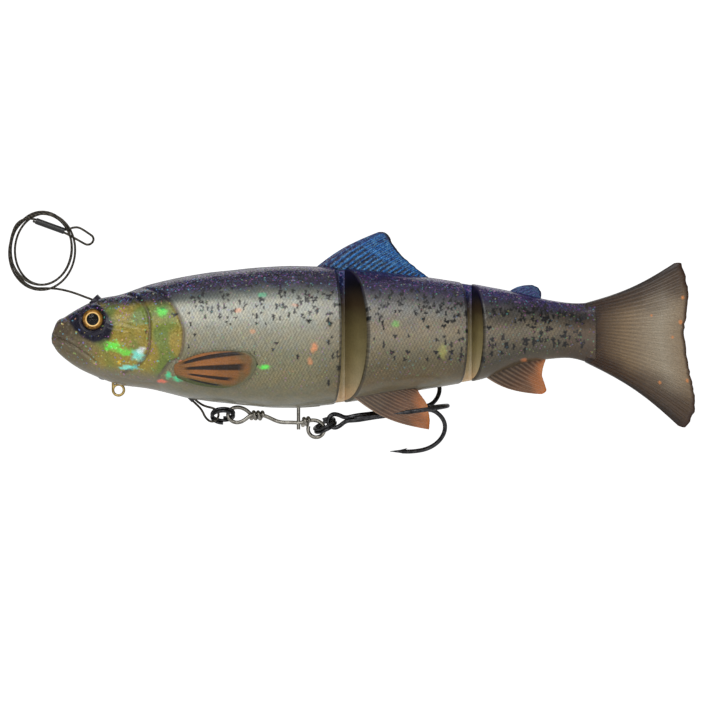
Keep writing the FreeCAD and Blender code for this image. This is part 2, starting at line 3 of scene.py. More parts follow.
import bpy
import numpy as np
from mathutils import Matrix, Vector


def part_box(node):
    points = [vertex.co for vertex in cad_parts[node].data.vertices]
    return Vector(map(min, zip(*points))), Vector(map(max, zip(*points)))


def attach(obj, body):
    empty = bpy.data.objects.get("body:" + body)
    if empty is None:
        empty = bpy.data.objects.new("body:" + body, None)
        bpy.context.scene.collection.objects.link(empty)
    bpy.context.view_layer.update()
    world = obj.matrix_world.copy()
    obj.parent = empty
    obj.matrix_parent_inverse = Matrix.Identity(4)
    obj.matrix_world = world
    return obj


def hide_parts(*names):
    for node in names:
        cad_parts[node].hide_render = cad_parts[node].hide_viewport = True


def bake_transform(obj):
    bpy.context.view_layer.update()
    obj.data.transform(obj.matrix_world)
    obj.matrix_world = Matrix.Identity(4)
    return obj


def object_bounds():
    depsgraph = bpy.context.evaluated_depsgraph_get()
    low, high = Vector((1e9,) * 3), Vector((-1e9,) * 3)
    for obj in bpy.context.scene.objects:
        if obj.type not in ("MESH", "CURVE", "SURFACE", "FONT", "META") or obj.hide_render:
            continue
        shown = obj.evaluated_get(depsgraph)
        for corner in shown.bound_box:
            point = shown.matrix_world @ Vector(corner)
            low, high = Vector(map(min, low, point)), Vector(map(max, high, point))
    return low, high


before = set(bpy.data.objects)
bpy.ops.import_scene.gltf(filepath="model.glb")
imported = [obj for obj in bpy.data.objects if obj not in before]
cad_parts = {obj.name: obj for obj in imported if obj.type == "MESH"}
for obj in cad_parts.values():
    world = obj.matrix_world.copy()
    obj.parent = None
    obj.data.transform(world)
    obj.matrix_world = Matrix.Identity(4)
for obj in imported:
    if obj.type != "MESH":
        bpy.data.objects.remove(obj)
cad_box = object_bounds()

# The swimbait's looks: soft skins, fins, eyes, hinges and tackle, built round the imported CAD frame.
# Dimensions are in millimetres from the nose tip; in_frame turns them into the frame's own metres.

MM = 0.001
NOSE_TO_ORIGIN = np.array([21.0, 0.0, -14.9])
rng = np.random.default_rng(38)

# Body stations in millimetres: distance from the nose, back, belly, half-width, height of the widest point
STATIONS = np.array([
    (0.35, 2.6, -0.4, 1.0, 1.2), (1.6, 5.7, -2.4, 2.5, 1.6), (4.4, 7.8, -5.2, 4.3, 1.8),
    (9.0, 10.6, -8.4, 6.3, 2.0), (14.0, 13.1, -10.7, 8.0, 2.0), (21.0, 14.6, -13.2, 9.9, 1.6),
    (31.0, 17.9, -14.6, 12.0, 1.8), (42.0, 20.4, -17.3, 13.4, 2.0), (57.0, 22.4, -19.3, 14.2, 2.0),
    (74.0, 23.6, -20.5, 14.2, 2.0), (91.0, 22.9, -18.9, 13.5, 2.2), (108.4, 21.1, -15.9, 12.2, 2.4),
    (122.4, 19.3, -13.7, 10.6, 2.6), (135.0, 17.3, -11.2, 8.8, 3.0), (145.7, 15.2, -6.9, 6.9, 3.6),
    (155.0, 13.0, -5.3, 4.9, 3.8), (162.0, 12.1, -5.1, 3.6, 3.6), (170.0, 12.4, -7.6, 2.9, 3.0),
])
NOSE_X = 0.35
FULLNESS = 0.88
GIRTH_STEPS = 440
ROW_MM = 0.24
FRONT_RIM = (88.0, 90.6, 14.0)
MIDDLE_NOSE = (91.0, 99.2, 14.0)
MIDDLE_RIM = (127.0, 129.6, 10.4)
REAR_NOSE = (130.4, 135.0, 10.4)
TAIL_HINGE_X = 168.4
EYE = (13.4, 7.0)
EYE_RADIUS = 3.5
EYE_FLOOR_Y = 5.45
SCALE_PITCH = (1.02, 0.98)
SCALE_HEIGHT = 0.085


# ---------------------------------------------------------------- small tools


def linear(*rgb):
    """A linear colour from an sRGB one on a 0 to 255 scale."""
    c = np.array(rgb, float) / 255
    return np.where(c <= 0.04045, c / 12.92, ((c + 0.055) / 1.055) ** 2.4)


def smooth(low, high, value):
    """0 below low, 1 above high and a smooth step between."""
    t = np.clip((value - low) / (high - low), 0, 1)
    return t * t * (3 - 2 * t)


def mix(a, b, share):
    """Colours or numbers mixed; share may be an array with one value per point."""
    share = np.asarray(share)
    if share.ndim == 1 and np.ndim(a) + np.ndim(b) > 0 and np.shape(b)[-1:] == (3,):
        share = share[:, None]
    return a * (1 - share) + b * share


def ramp(value, stops):
    """A colour ramp: stops are (value, colour) pairs in rising order."""
    keys = [stop[0] for stop in stops]
    colours = np.array([stop[1] for stop in stops])
    return np.stack([np.interp(value, keys, colours[:, i]) for i in range(3)], axis=-1)


def noise(points, size, seed):
    """Smooth repeatable noise from -1 to 1, made of a few crossed waves of about the given size."""
    local = np.random.default_rng(seed)
    total = np.zeros(len(points))
    for _ in range(7):
        direction = local.normal(size=3)
        direction *= local.uniform(0.6, 1.5) / np.linalg.norm(direction)
        total += np.sin(points @ direction * (2 * math.pi / size) + local.uniform(0, 6.3))
    return np.clip(total / 4.5, -1, 1)


def polyline_distance(x, z, line):
    """Distance in the side view from each point to a polyline of (x, z) points."""
    best = np.full(len(x), 1e9)
    for (ax, az), (bx, bz) in zip(line[:-1], line[1:]):
        dx, dz = bx - ax, bz - az
        t = np.clip(((x - ax) * dx + (z - az) * dz) / (dx * dx + dz * dz), 0, 1)
        best = np.minimum(best, np.hypot(x - ax - t * dx, z - az - t * dz))
    return best


def curve_through(points, steps=12):
    """A smooth polyline through (x, z) points, by Catmull-Rom."""
    p = np.array(points, float)
    p = np.vstack([2 * p[0] - p[1], p, 2 * p[-1] - p[-2]])
    out = []
    for i in range(1, len(p) - 2):
        for k in range(steps):
            t = k / steps
            a, b, c, d = p[i - 1], p[i], p[i + 1], p[i + 2]
            square = 2 * a - 5 * b + 4 * c - d
            cube = 3 * b - a - 3 * c + d
            out.append(0.5 * (2 * b + (c - a) * t + square * t * t + cube * t**3))
    out.append(p[-2])
    return np.array(out)


def in_frame(points_mm):
    """Points in millimetres from the nose tip, as metres from the frame's origin in the chin eyelet."""
    return (np.asarray(points_mm) - NOSE_TO_ORIGIN) * MM


def make_mesh(name, points_mm, faces, colour=None, masks=None):
    """A mesh object from points in millimetres, with a colour attribute and named masks per point."""
    mesh = bpy.data.meshes.new(name)
    faces = faces if isinstance(faces, list) else np.asarray(faces).tolist()
    mesh.from_pydata(in_frame(points_mm).tolist(), [], faces)
    mesh.validate()
    mesh.shade_smooth()
    if colour is not None:
        attribute = mesh.color_attributes.new("paint", "FLOAT_COLOR", "POINT")
        rgba = np.ones((len(points_mm), 4), np.float32)
        rgba[:, :3] = np.clip(colour, 0, 1)
        attribute.data.foreach_set("color", rgba.ravel())
    for key, values in (masks or {}).items():
        attribute = mesh.attributes.new(key, "FLOAT", "POINT")
        attribute.data.foreach_set("value", np.asarray(values, np.float32))
    obj = bpy.data.objects.new(name, mesh)
    bpy.context.scene.collection.objects.link(obj)
    return obj


def grid_faces(rows, columns, closed=False, offset=0):
    """Quads of a rows by columns grid of points; closed joins the last column to the first."""
    last = columns if closed else columns - 1
    i, j = np.meshgrid(np.arange(rows - 1), np.arange(last), indexing="ij")
    k = (j + 1) % columns
    quads = np.stack([i * columns + j, i * columns + k, (i + 1) * columns + k, (i + 1) * columns + j], -1)
    return quads.reshape(-1, 4) + offset


# ---------------------------------------------------------------- body form


def profile(x):
    """Back, belly, half-width and widest height at distances x, by a smooth curve through the stations."""
    keys = STATIONS[:, 0]
    out = []
    for column in range(1, 5):
        values = STATIONS[:, column]
        slopes = np.gradient(values, keys)
        i = np.clip(np.searchsorted(keys, x) - 1, 0, len(keys) - 2)
        span = keys[i + 1] - keys[i]
        t = np.clip((x - keys[i]) / span, 0, 1)
        h00, h10 = 2 * t**3 - 3 * t**2 + 1, t**3 - 2 * t**2 + t
        h01, h11 = 3 * t**2 - 2 * t**3, t**3 - t**2
        from_values = h00 * values[i] + h10 * span * slopes[i]
        out.append(from_values + h01 * values[i + 1] + h11 * span * slopes[i + 1])
    return out


def body_point(x, angle):
    """The plain body surface: angle 0 is the right flank, a quarter turn the back, a half turn the left."""
    back, belly, half_width, widest = profile(x)
    across, up = np.cos(angle), np.sin(angle)
    y = half_width * np.sign(across) * np.abs(across) ** FULLNESS
    z = widest + np.where(up > 0, back - widest, widest - belly) * up
    return y, z


def plan_x(line, y):
    """Where a hinge face, given as (x at the middle, x at half-width, half-width), reaches the distance y."""
    return line[0] + (line[1] - line[0]) * np.abs(y) / line[2]


def face_x(line, angle):
    """The distance along the body where the surface meets a hinge face, for each angle round the girth."""
    x = np.full_like(angle, line[0])
    for _ in range(6):
        y, _ = body_point(x, angle)
        x = plan_x(line, y)
    return x


def skin_grid(start, end):
    """Rows of points along the body between two edges, each a constant x or a hinge face."""
    angle = np.linspace(0, 2 * math.pi, GIRTH_STEPS, endpoint=False)
    x0 = np.full_like(angle, start) if np.isscalar(start) else face_x(start, angle) + RIM_ROUND
    x1 = np.full_like(angle, end) if np.isscalar(end) else face_x(end, angle) - RIM_ROUND
    rows = int((x1.max() - x0.min()) / ROW_MM) + 1
    share = np.linspace(0, 1, rows)
    if np.isscalar(start) and start < 1:
        share = share ** 1.25
    x = x0[None] + (x1 - x0)[None] * share[:, None]
    angles = np.broadcast_to(angle, x.shape)
    y, z = body_point(x.ravel(), angles.ravel())
    return rows, x.ravel(), y, z


def grid_normals(points, rows, columns):
    """Outward unit normals of a closed grid."""
    p = points.reshape(rows, columns, 3)
    along = np.gradient(p, axis=0)
    around = np.roll(p, -1, axis=1) - np.roll(p, 1, axis=1)
    normal = np.cross(around, along)
    normal /= np.linalg.norm(normal, axis=2, keepdims=True) + 1e-12
    return normal.reshape(-1, 3)


def arc_coordinate(y, z, rows):
    """Distance round the girth from the back, in millimetres, signed by flank."""
    p = np.stack([y, z], -1).reshape(rows, GIRTH_STEPS, 2)
    step = np.linalg.norm(np.roll(p, -1, axis=1) - p, axis=2)
    total = np.cumsum(step, axis=1) - step
    quarter = total[:, GIRTH_STEPS // 4][:, None]
    girth = step.sum(axis=1)[:, None]
    arc = (total - quarter + girth / 2) % girth - girth / 2
    return arc.ravel()


# ---------------------------------------------------------------- head lines, in the side view

INNER_GILL = curve_through([
    (15.5, 13.9), (20.0, 14.9), (25.5, 14.4), (28.8, 12.2), (30.7, 9.2), (31.3, 5.0), (31.2, 0.5),
    (30.8, -3.0), (28.8, -6.0), (26.0, -8.2), (22.8, -9.6),
])
OUTER_GILL = curve_through([
    (28.0, 17.0), (32.6, 15.9), (36.6, 13.6), (39.4, 9.6), (41.4, 5.0), (41.7, 1.5), (41.2, -2.6),
    (40.0, -5.2), (37.4, -6.3), (35.6, -8.6), (33.8, -11.0),
])
MOUTH = curve_through([(0.0, 1.9), (2.8, 1.2), (5.9, -0.4), (9.3, -2.4), (12.6, -4.8), (15.6, -7.4)])
JAW_EDGE = curve_through([(5.6, -3.2), (9.5, -5.0), (13.5, -6.6), (17.5, -7.6)])
THROAT = curve_through([(17.0, -9.0), (22.0, -11.0), (28.0, -12.4), (33.0, -12.2), (36.0, -10.6)])


def head_relief(x, y, z):
    """Raised and sunken lines of the head in millimetres, and the mask of the gill grooves."""
    side = smooth(1.0, 3.0, np.abs(y))
    inner = polyline_distance(x, z, INNER_GILL)
    outer = polyline_distance(x, z, OUTER_GILL)
    mouth = polyline_distance(x, z, MOUTH)
    jaw = polyline_distance(x, z, JAW_EDGE)
    throat = polyline_distance(x, z, THROAT)
    grooves = np.maximum(np.exp(-((inner / 0.42) ** 2)), np.exp(-((outer / 0.45) ** 2)))
    height = -0.42 * grooves * side
    height += 0.16 * np.exp(-(((inner - 0.95) / 0.5) ** 2)) * side
    height -= 0.4 * np.exp(-((mouth / 0.32) ** 2)) * smooth(17.0, 13.0, x)
    height += 0.2 * np.exp(-(((mouth - 0.8) / 0.5) ** 2)) * smooth(17.0, 13.0, x)
    height += 0.16 * np.exp(-((jaw / 0.3) ** 2)) * side - 0.16 * np.exp(-((throat / 0.35) ** 2)) * side
    rim = np.hypot(x - EYE[0], z - EYE[1])
    height += 0.26 * np.exp(-(((rim - 4.3) / 0.45) ** 2)) * side
    height -= 0.3 * np.exp(-((np.hypot(x - 6.2, z - 5.4) / 0.45) ** 2)) * side
    streak = np.sin(3.4 * (z + 0.22 * x)) * np.exp(-((np.hypot((x - 24) / 6.5, (z - 2) / 6.0)) ** 4))
    height += 0.035 * streak * side
    return height, grooves * side


def scale_relief(x, arc, mask):
    """Height of the overlapping scales with rounded rear edges, and each point's share along its scale."""
    u = x / SCALE_PITCH[0]
    v = arc / SCALE_PITCH[1] + 0.35 * np.sin(x / 9.0)
    row = np.floor(v)
    across = 2 * (v - row) - 1
    t = (u + 0.5 * (row % 2) + 0.3 * across**2) % 1.0
    edge = 1 - smooth(0.78, 1.0, t)
    return SCALE_HEIGHT * mask * (0.35 + 0.65 * t) * edge * (1 - 0.55 * across**4), t


# ---------------------------------------------------------------- body paint

FRONT_RAMP = [
    (-1.0, linear(148, 146, 132)), (-0.8, linear(128, 122, 95)), (-0.55, linear(138, 131, 98)),
    (-0.25, linear(140, 136, 106)), (0.0, linear(160, 156, 134)), (0.25, linear(184, 184, 168)),
    (0.5, linear(176, 178, 164)), (0.64, linear(92, 98, 92)), (0.76, linear(36, 28, 52)),
    (0.88, linear(26, 18, 44)), (1.0, linear(38, 24, 56)),
]
MIDDLE_RAMP = [
    (-1.0, linear(140, 134, 116)), (-0.75, linear(112, 97, 68)), (-0.5, linear(106, 97, 70)),
    (-0.2, linear(134, 124, 98)), (0.1, linear(150, 138, 116)), (0.4, linear(132, 130, 122)),
    (0.6, linear(84, 82, 86)), (0.74, linear(38, 28, 62)), (0.88, linear(34, 20, 66)),
    (1.0, linear(44, 26, 78)),
]
REAR_RAMP = [
    (-1.0, linear(96, 82, 62)), (-0.7, linear(78, 72, 57)), (-0.35, linear(104, 94, 76)),
    (0.0, linear(124, 113, 92)), (0.25, linear(96, 88, 74)), (0.5, linear(70, 66, 62)),
    (0.68, linear(36, 28, 56)), (0.84, linear(34, 20, 76)), (1.0, linear(44, 26, 90)),
]
TAIL_RAMP = [
    (-1.0, linear(66, 52, 38)), (-0.4, linear(88, 70, 52)), (0.0, linear(96, 78, 58)),
    (0.35, linear(62, 50, 40)), (0.7, linear(50, 38, 40)), (1.0, linear(50, 34, 52)),
]
SPOT = linear(9, 8, 8)
GROOVE = linear(112, 98, 92)
HEAD_TOP = linear(26, 20, 36)
HEAD_NAVY = linear(18, 14, 38)
SNOUT = linear(106, 92, 72)
JAW = linear(116, 104, 74)
GILL_GOLD = linear(168, 148, 60)
GILL_GREEN = linear(124, 140, 58)
THROAT_PALE = linear(132, 124, 104)
NEON_GREEN = linear(70, 255, 80)
NEON_TEAL = linear(40, 235, 165)
NEON_CYAN = linear(120, 255, 245)
NEON_RED = linear(255, 110, 90)
ORANGE = linear(255, 150, 90)
FLAKES = [
    ((20.0, -1.4, 2.6, 1.6), NEON_GREEN, 1.0), ((23.5, -3.2, 2.4, 1.2), NEON_GREEN, 0.8),
    ((34.9, 9.2, 1.7, 1.6), NEON_GREEN, 0.8), ((27.6, -4.2, 1.9, 1.8), NEON_CYAN, 0.85),
    ((25.0, -7.8, 3.0, 0.8), NEON_CYAN, 0.9), ((28.6, -2.6, 1.4, 1.0), linear(240, 255, 255), 0.8),
    ((37.0, -10.3, 0.9, 1.2), NEON_TEAL, 0.9), ((40.1, -11.3, 1.8, 0.9), NEON_TEAL, 0.9),
    ((35.0, -12.2, 1.5, 0.6), NEON_RED, 0.9), ((41.0, -6.3, 0.9, 0.6), NEON_RED, 0.9),
    ((21.8, -6.3, 0.6, 0.7), linear(250, 190, 40), 0.8), ((66.5, -7.8, 1.8, 0.8), NEON_GREEN, 0.85),
    ((62.4, -8.2, 1.0, 0.6), NEON_TEAL, 0.6), ((66.0, 14.4, 1.2, 0.8), NEON_TEAL, 0.5),
    ((82.0, -1.8, 1.1, 1.7), ORANGE, 0.75), ((80.6, -6.0, 0.8, 1.1), ORANGE, 0.6),
    ((58.6, 9.6, 1.2, 0.8), ORANGE, 0.55), ((92.0, -15.8, 0.9, 0.9), ORANGE, 0.7),
    ((63.0, 3.2, 0.9, 0.7), ORANGE, 0.5), ((76.0, 11.2, 1.0, 0.6), ORANGE, 0.45),
    ((107.0, 5.4, 1.4, 1.1), NEON_GREEN, 0.35), ((121.5, -3.0, 1.2, 2.4), linear(225, 225, 100), 0.35),
    ((146.8, -5.6, 1.0, 0.7), ORANGE, 0.5), ((48.5, -5.6, 0.9, 0.6), ORANGE, 0.6),
]


FLAKE_GROWTH = 1.35


def body_ramp(x, level):
    """The flank's colour by height, changing along the body."""
    parts = [ramp(level, stops) for stops in (FRONT_RAMP, MIDDLE_RAMP, REAR_RAMP, TAIL_RAMP)]
    colour = mix(parts[0], parts[1], smooth(78, 96, x))
    colour = mix(colour, parts[2], smooth(120, 138, x))
    return mix(colour, parts[3], smooth(154, 166, x))


def head_paint(x, y, z):
    """Snout, eye patch, dark crown and gold gill covers."""
    points = np.stack([x, y, z], -1)
    gold = mix(GILL_GOLD, GILL_GREEN, smooth(-0.3, 0.5, noise(points, 9.0, 5)))
    gold = mix(gold, JAW, smooth(18, 10, x))
    colour = mix(gold, THROAT_PALE, smooth(-6.5, -10.5, z + 0.12 * (x - 20)))
    colour = mix(colour, SNOUT, smooth(9.5, 4.5, x) * smooth(-4, 2, z))
    crown = 12.4 + 0.02 * (x - 20) + 0.5 * noise(points, 6.0, 6)
    colour = mix(colour, HEAD_TOP, smooth(crown - 2.6, crown + 0.6, z))
    patch = np.hypot((x - 12.6) / 7.6, (z - 6.6 + 0.35 * (x - 13)) / 6.6)
    return mix(colour, HEAD_NAVY, smooth(1.08, 0.86, patch + 0.05 * noise(points, 3.0, 7)))


def spot_list():
    """Dark spots of both flanks: flank, place, size, stretch and strength, dense above the middle."""
    spots = []
    for flank in (-1, 1):
        for _ in range(520):
            x = rng.uniform(42, 166)
            level = rng.normal(0.5, 0.2) if rng.random() < 0.66 else rng.normal(-0.28, 0.16)
            if level > 0.86 or (level < 0.05 and x < 86 and rng.random() < 0.8):
                continue
            if level < 0.12 and x < 118 and rng.random() < 0.35:
                continue
            size = rng.uniform(0.38, 0.74) * (1.0 if x > 70 else 0.85)
            spots.append((flank, x, level, size, rng.uniform(0.7, 1.7), rng.uniform(0.75, 1.0)))
        spots += [(flank, 35.2, 0.48, 0.6, 0.9, 1.0), (flank, 39.0, 0.36, 0.75, 0.8, 1.0)]
        spots += [(flank, 30.2, 0.08, 0.45, 1.4, 0.7), (flank, 44.4, 0.62, 0.7, 0.8, 1.0)]
    return spots


SPOTS = spot_list()


def spot_mask(x, y, z):
    """How dark the spots are at each point."""
    mask = np.zeros(len(x))
    order = np.argsort(x, kind="stable")
    sorted_x = x[order]
    for flank, sx, level, size, stretch, strength in SPOTS:
        low, high = np.searchsorted(sorted_x, (sx - 2.0, sx + 2.0))
        near = order[low:high]
        if not len(near):
            continue
        near = near[y[near] * flank > 0]
        back, belly, _, widest = [float(v[0]) for v in profile(np.array([sx]))]
        sz = widest + level * (back - widest if level > 0 else widest - belly)
        dx, dz = x[near] - sx, z[near] - sz
        turn = np.arctan2(dz, dx)
        wobble = 1 + 0.3 * np.sin(3 * turn + sx * 5) + 0.15 * np.sin(5 * turn + sx * 9)
        distance = np.hypot(dx * stretch, dz / stretch) / (size * wobble)
        mask[near] = np.maximum(mask[near], strength * smooth(1.15, 0.75, distance))
    return mask


def body_paint(x, y, z, scale_t, scales, grooves):
    """The skin's colour with painted light and shade on each scale, how much it glitters, the neon flakes'
    painted glow and the violet share at each point.
    """
    points = np.stack([x, y, z], -1)
    back, belly, _, widest = profile(x)
    level = np.where(z > widest, (z - widest) / (back - widest), (z - widest) / (widest - belly))
    blotch = noise(points, 7.0, 1)
    colour = body_ramp(x, level + 0.05 * blotch)
    outer = np.interp(z, OUTER_GILL[::-1, 1], OUTER_GILL[::-1, 0])
    on_head = smooth(0.7, -0.4, x - outer)
    colour = mix(colour, head_paint(x, y, z), on_head)
    flank = smooth(-0.9, -0.55, level) * smooth(0.85, 0.6, level) * scales
    # Painted light and shade on the scales: each is painted lighter towards its raised rear part and darker
    # at its overlapping rear edge, with a random tone on top.
    shade = 1 + flank * (0.56 * smooth(0.1, 0.7, scale_t) - 0.38 + 0.22 * np.abs(noise(points, 1.6, 2)))
    shade *= 1 - 0.45 * flank * smooth(0.8, 1.0, scale_t)
    colour = colour * shade[:, None]
    tint = 0.5 + 0.5 * noise(points, 2.2, 3)
    colour = colour * (1 + 0.16 * (tint[:, None] - 0.5) * np.array([1.0, 0.3, -0.8]))
    colour = mix(colour, GROOVE, 0.75 * grooves * smooth(13.5, 9.0, z))
    colour = mix(colour, SPOT, np.minimum(1.15 * spot_mask(x, y, z), 1.0))
    # Neon flakes are mixed into the paint, and glow marks them for a glow of their own in the material:
    # painted light.
    glow = np.zeros(len(x))
    for (fx, fz, rx, rz), neon, strength in FLAKES:
        distance = np.hypot((x - fx) / rx, (z - fz) / rz) / FLAKE_GROWTH + 0.25 * noise(points, 1.3, 4)
        share = strength * smooth(1.0, 0.35, distance) * (0.55 + 0.45 * np.abs(noise(points, 0.7, 9)))
        colour = mix(colour, neon, share)
        glow = np.maximum(glow, share)
    violet = smooth(0.62, 0.78, level)
    glitter = np.clip(0.25 + 0.55 * violet + 0.4 * on_head, 0, 1) * smooth(-0.95, -0.6, level)
    return colour, glitter, glow, violet


# ---------------------------------------------------------------- body sections

ROUND_ROWS = 4
RIM_ROUND = 0.7
RIM_SHADE = 0.45
FACE_ROWS = 34
BAND_RAMP = [
    (-1.0, linear(176, 150, 118)), (-0.7, linear(150, 138, 108)), (-0.3, linear(132, 121, 86)),
    (0.1, linear(110, 99, 66)), (0.45, linear(62, 50, 34)), (0.75, linear(18, 16, 20)),
    (1.0, linear(18, 16, 36)),
]


def face_paint(x, y, z):
    """The plain inside faces of a hinge gap, painted lighter the deeper they lie: painted light against the
    shade in the gap.
    """
    back, belly, _, widest = profile(x)
    level = np.where(z > widest, (z - widest) / (back - widest), (z - widest) / (widest - belly))
    points = np.stack([x, y, z], -1)
    # Painted light: the faces are painted up to nearly twice as light towards the middle plane, where the gap
    # is deepest.
    painted_gap_light = smooth(13.0, 3.0, np.abs(y))
    return ramp(level, BAND_RAMP) * (1 + 0.9 * painted_gap_light + 0.1 * noise(points, 4.0, 8))[:, None]


def hinge_face(rim, line, outward):
    """Points from the rim of a section down its sloping face to the middle, with a rounded edge first."""
    rows = []
    for k in range(1, ROUND_ROWS + 1):
        a = k / ROUND_ROWS * math.pi / 2
        inset = RIM_ROUND * (1 - math.cos(a))
        shrunk = rim.copy()
        shrunk[:, 1:] *= (1 - inset / np.maximum(np.linalg.norm(rim[:, 1:], axis=1), 1.0))[:, None]
        shrunk[:, 0] = plan_x(line, shrunk[:, 1]) - outward * RIM_ROUND * (1 - math.sin(a))
        rows.append(shrunk)
    last = rows[-1]
    for share in np.linspace(1, 0, FACE_ROWS)[1:]:
        point = last.copy()
        point[:, 1] *= share
        point[:, 0] = plan_x(line, point[:, 1])
        rows.append(point)
    return rows


def close_face(points, faces, colours, masks, rim_index, rows):
    """Adds rows of points after a rim and joins them up; the last row lies on the middle plane."""
    count = len(points)
    block = np.concatenate(rows)
    colour = face_paint(block[:, 0], block[:, 1], block[:, 2])
    n = GIRTH_STEPS
    # Painted shade: the rounded rim rows take the skin's colour darkened by RIM_SHADE, where the edge turns
    # into the gap.
    colour[:ROUND_ROWS * n] = np.tile(RIM_SHADE * colours[rim_index:rim_index + n], (ROUND_ROWS, 1))
    j = np.arange(n)
    k = (j + 1) % n
    first = np.stack([rim_index + j, rim_index + k, count + k, count + j], -1)
    rest = grid_faces(len(rows), n, closed=True, offset=count)
    masks = {key: np.concatenate([values, np.zeros(len(block))]) for key, values in masks.items()}
    return np.vstack([points, block]), np.vstack([faces, first, rest]), np.vstack([colours, colour]), masks


def body_section(name, start, end):
    """One soft section: its scaly skin and the sloping faces at its hinges."""
    rows, x, y, z = skin_grid(start, end)
    points = np.stack([x, y, z], -1)
    arc = arc_coordinate(y, z, rows)
    back, belly, _, widest = profile(x)
    level = np.where(z > widest, (z - widest) / (back - widest), (z - widest) / (widest - belly))
    outer = np.interp(z, OUTER_GILL[::-1, 1], OUTER_GILL[::-1, 0])
    scales = smooth(0.4, 1.6, x - outer) * smooth(-1.0, -0.7, level) * smooth(1.0, 0.82, level)
    scales *= smooth(168, 160, x)
    relief, scale_t = scale_relief(x, arc, scales)
    head, grooves = head_relief(x, y, z)
    relief += head * smooth(46, 42, x)
    relief += 0.05 * noise(points, 9.0, 11)
    normal = grid_normals(points, rows, GIRTH_STEPS)
    if np.isscalar(start) and start < 1:
        relief *= smooth(0.6, 2.2, x)
    moved = points + normal * relief[:, None]
    eye = np.hypot(x - EYE[0], z - EYE[1])
    inside = (eye < EYE_RADIUS) & (x < 30)
    moved[inside, 1] = np.sign(y[inside]) * EYE_FLOOR_Y
    colour, glitter, glow, violet = body_paint(x, y, z, scale_t, scales, grooves)
    masks = {"glitter": glitter, "glow": glow, "violet": violet}
    faces = grid_faces(rows, GIRTH_STEPS, closed=True)[:, ::-1]
    points = moved
    if np.isscalar(start):
        nose = points[:GIRTH_STEPS].mean(axis=0) - np.array([0.2 if start < 1 else 0.0, 0, 0])
        points = np.vstack([points, nose])
        colour = np.vstack([colour, colour[:1]])
        masks = {key: np.append(values, 0.0) for key, values in masks.items()}
        tip = len(points) - 1
        j = np.arange(GIRTH_STEPS)
        k = (j + 1) % GIRTH_STEPS
        fan = np.stack([np.full_like(j, tip), k, j], -1)
    else:
        fan = None
        rim = points[:GIRTH_STEPS].copy()
        near = hinge_face(rim, start, -1)
        points, faces, colour, masks = close_face(points, faces, colour, masks, 0, near)
    if not np.isscalar(end):
        rim_index = (rows - 1) * GIRTH_STEPS
        rim = points[rim_index:rim_index + GIRTH_STEPS].copy()
        far = hinge_face(rim, end, 1)
        points, faces, colour, masks = close_face(points, faces, colour, masks, rim_index, far)
    all_faces = faces.tolist() + (fan.tolist() if fan is not None else [])
    return make_mesh(name, points, all_faces, colour, masks)


# ---------------------------------------------------------------- materials


class Nodes:
    """A short way to write a material's node tree."""

    def __init__(self, name):
        self.material = bpy.data.materials.new(name)
        self.material.use_nodes = True
        self.tree = self.material.node_tree
        self.shader = self.tree.nodes["Principled BSDF"]

    def add(self, kind, **settings):
        node = self.tree.nodes.new(kind)
        for key, value in settings.items():
            setattr(node, key, value)
        return node

    def link(self, output, target):
        self.tree.links.new(output, target)

    def value(self, source, socket):
        """Sets an input from a number, a colour or another node's output."""
        if hasattr(source, "is_output"):
            self.link(source, socket)
        elif hasattr(source, "__len__") and len(source) == 3 and len(socket.default_value) == 4:
            socket.default_value = (*source, 1.0)
        else:
            socket.default_value = source

    def math(self, operation, a, b=0.0, clamp=False):
        node = self.add("ShaderNodeMath", operation=operation, use_clamp=clamp)
        self.value(a, node.inputs[0])
        self.value(b, node.inputs[1])
        return node.outputs[0]

    def mix(self, share, a, b, kind="MIX"):
        node = self.add("ShaderNodeMix", data_type="RGBA", blend_type=kind)
        self.value(share, node.inputs[0])
        self.value(a, node.inputs[6])
        self.value(b, node.inputs[7])
        return node.outputs[2]

    def attribute(self, name, colour=False):
        node = self.add("ShaderNodeAttribute", attribute_name=name)
        return node.outputs["Color" if colour else "Fac"]

    def position(self):
        return self.add("ShaderNodeTexCoord").outputs["Object"]

    def noise(self, scale, detail=3.0, rough=0.5):
        node = self.add("ShaderNodeTexNoise")
        self.link(self.position(), node.inputs["Vector"])
        node.inputs["Scale"].default_value = scale
        node.inputs["Detail"].default_value = detail
        node.inputs["Roughness"].default_value = rough
        return node.outputs["Fac"]

    def voronoi(self, scale):
        node = self.add("ShaderNodeTexVoronoi")
        self.link(self.position(), node.inputs["Vector"])
        node.inputs["Scale"].default_value = scale
        return node.outputs["Color"], node.outputs["Distance"]

    def span(self, value, low, high, out_low=0.0, out_high=1.0):
        node = self.add("ShaderNodeMapRange")
        self.value(value, node.inputs["Value"])
        for key, number in (("From Min", low), ("From Max", high), ("To Min", out_low), ("To Max", out_high)):
            node.inputs[key].default_value = number
        return node.outputs["Result"]

    def bump(self, height, strength, distance):
        node = self.add("ShaderNodeBump")
        self.link(height, node.inputs["Height"])
        node.inputs["Strength"].default_value = strength
        node.inputs["Distance"].default_value = distance
        return node.outputs["Normal"]

    def set(self, **inputs):
        names = {"color": "Base Color", "coat": "Coat Weight", "coat_rough": "Coat Roughness",
                 "metal": "Metallic", "rough": "Roughness", "normal": "Normal", "alpha": "Alpha",
                 "glow": "Emission Strength", "glow_color": "Emission Color", "spec": "Specular IOR Level",
                 "transmission": "Transmission Weight", "ior": "IOR", "coat_normal": "Coat Normal"}
        for key, source in inputs.items():
            self.value(source, self.shader.inputs[names[key]])
        return self.material


FLAKE_CELL = 2300.0


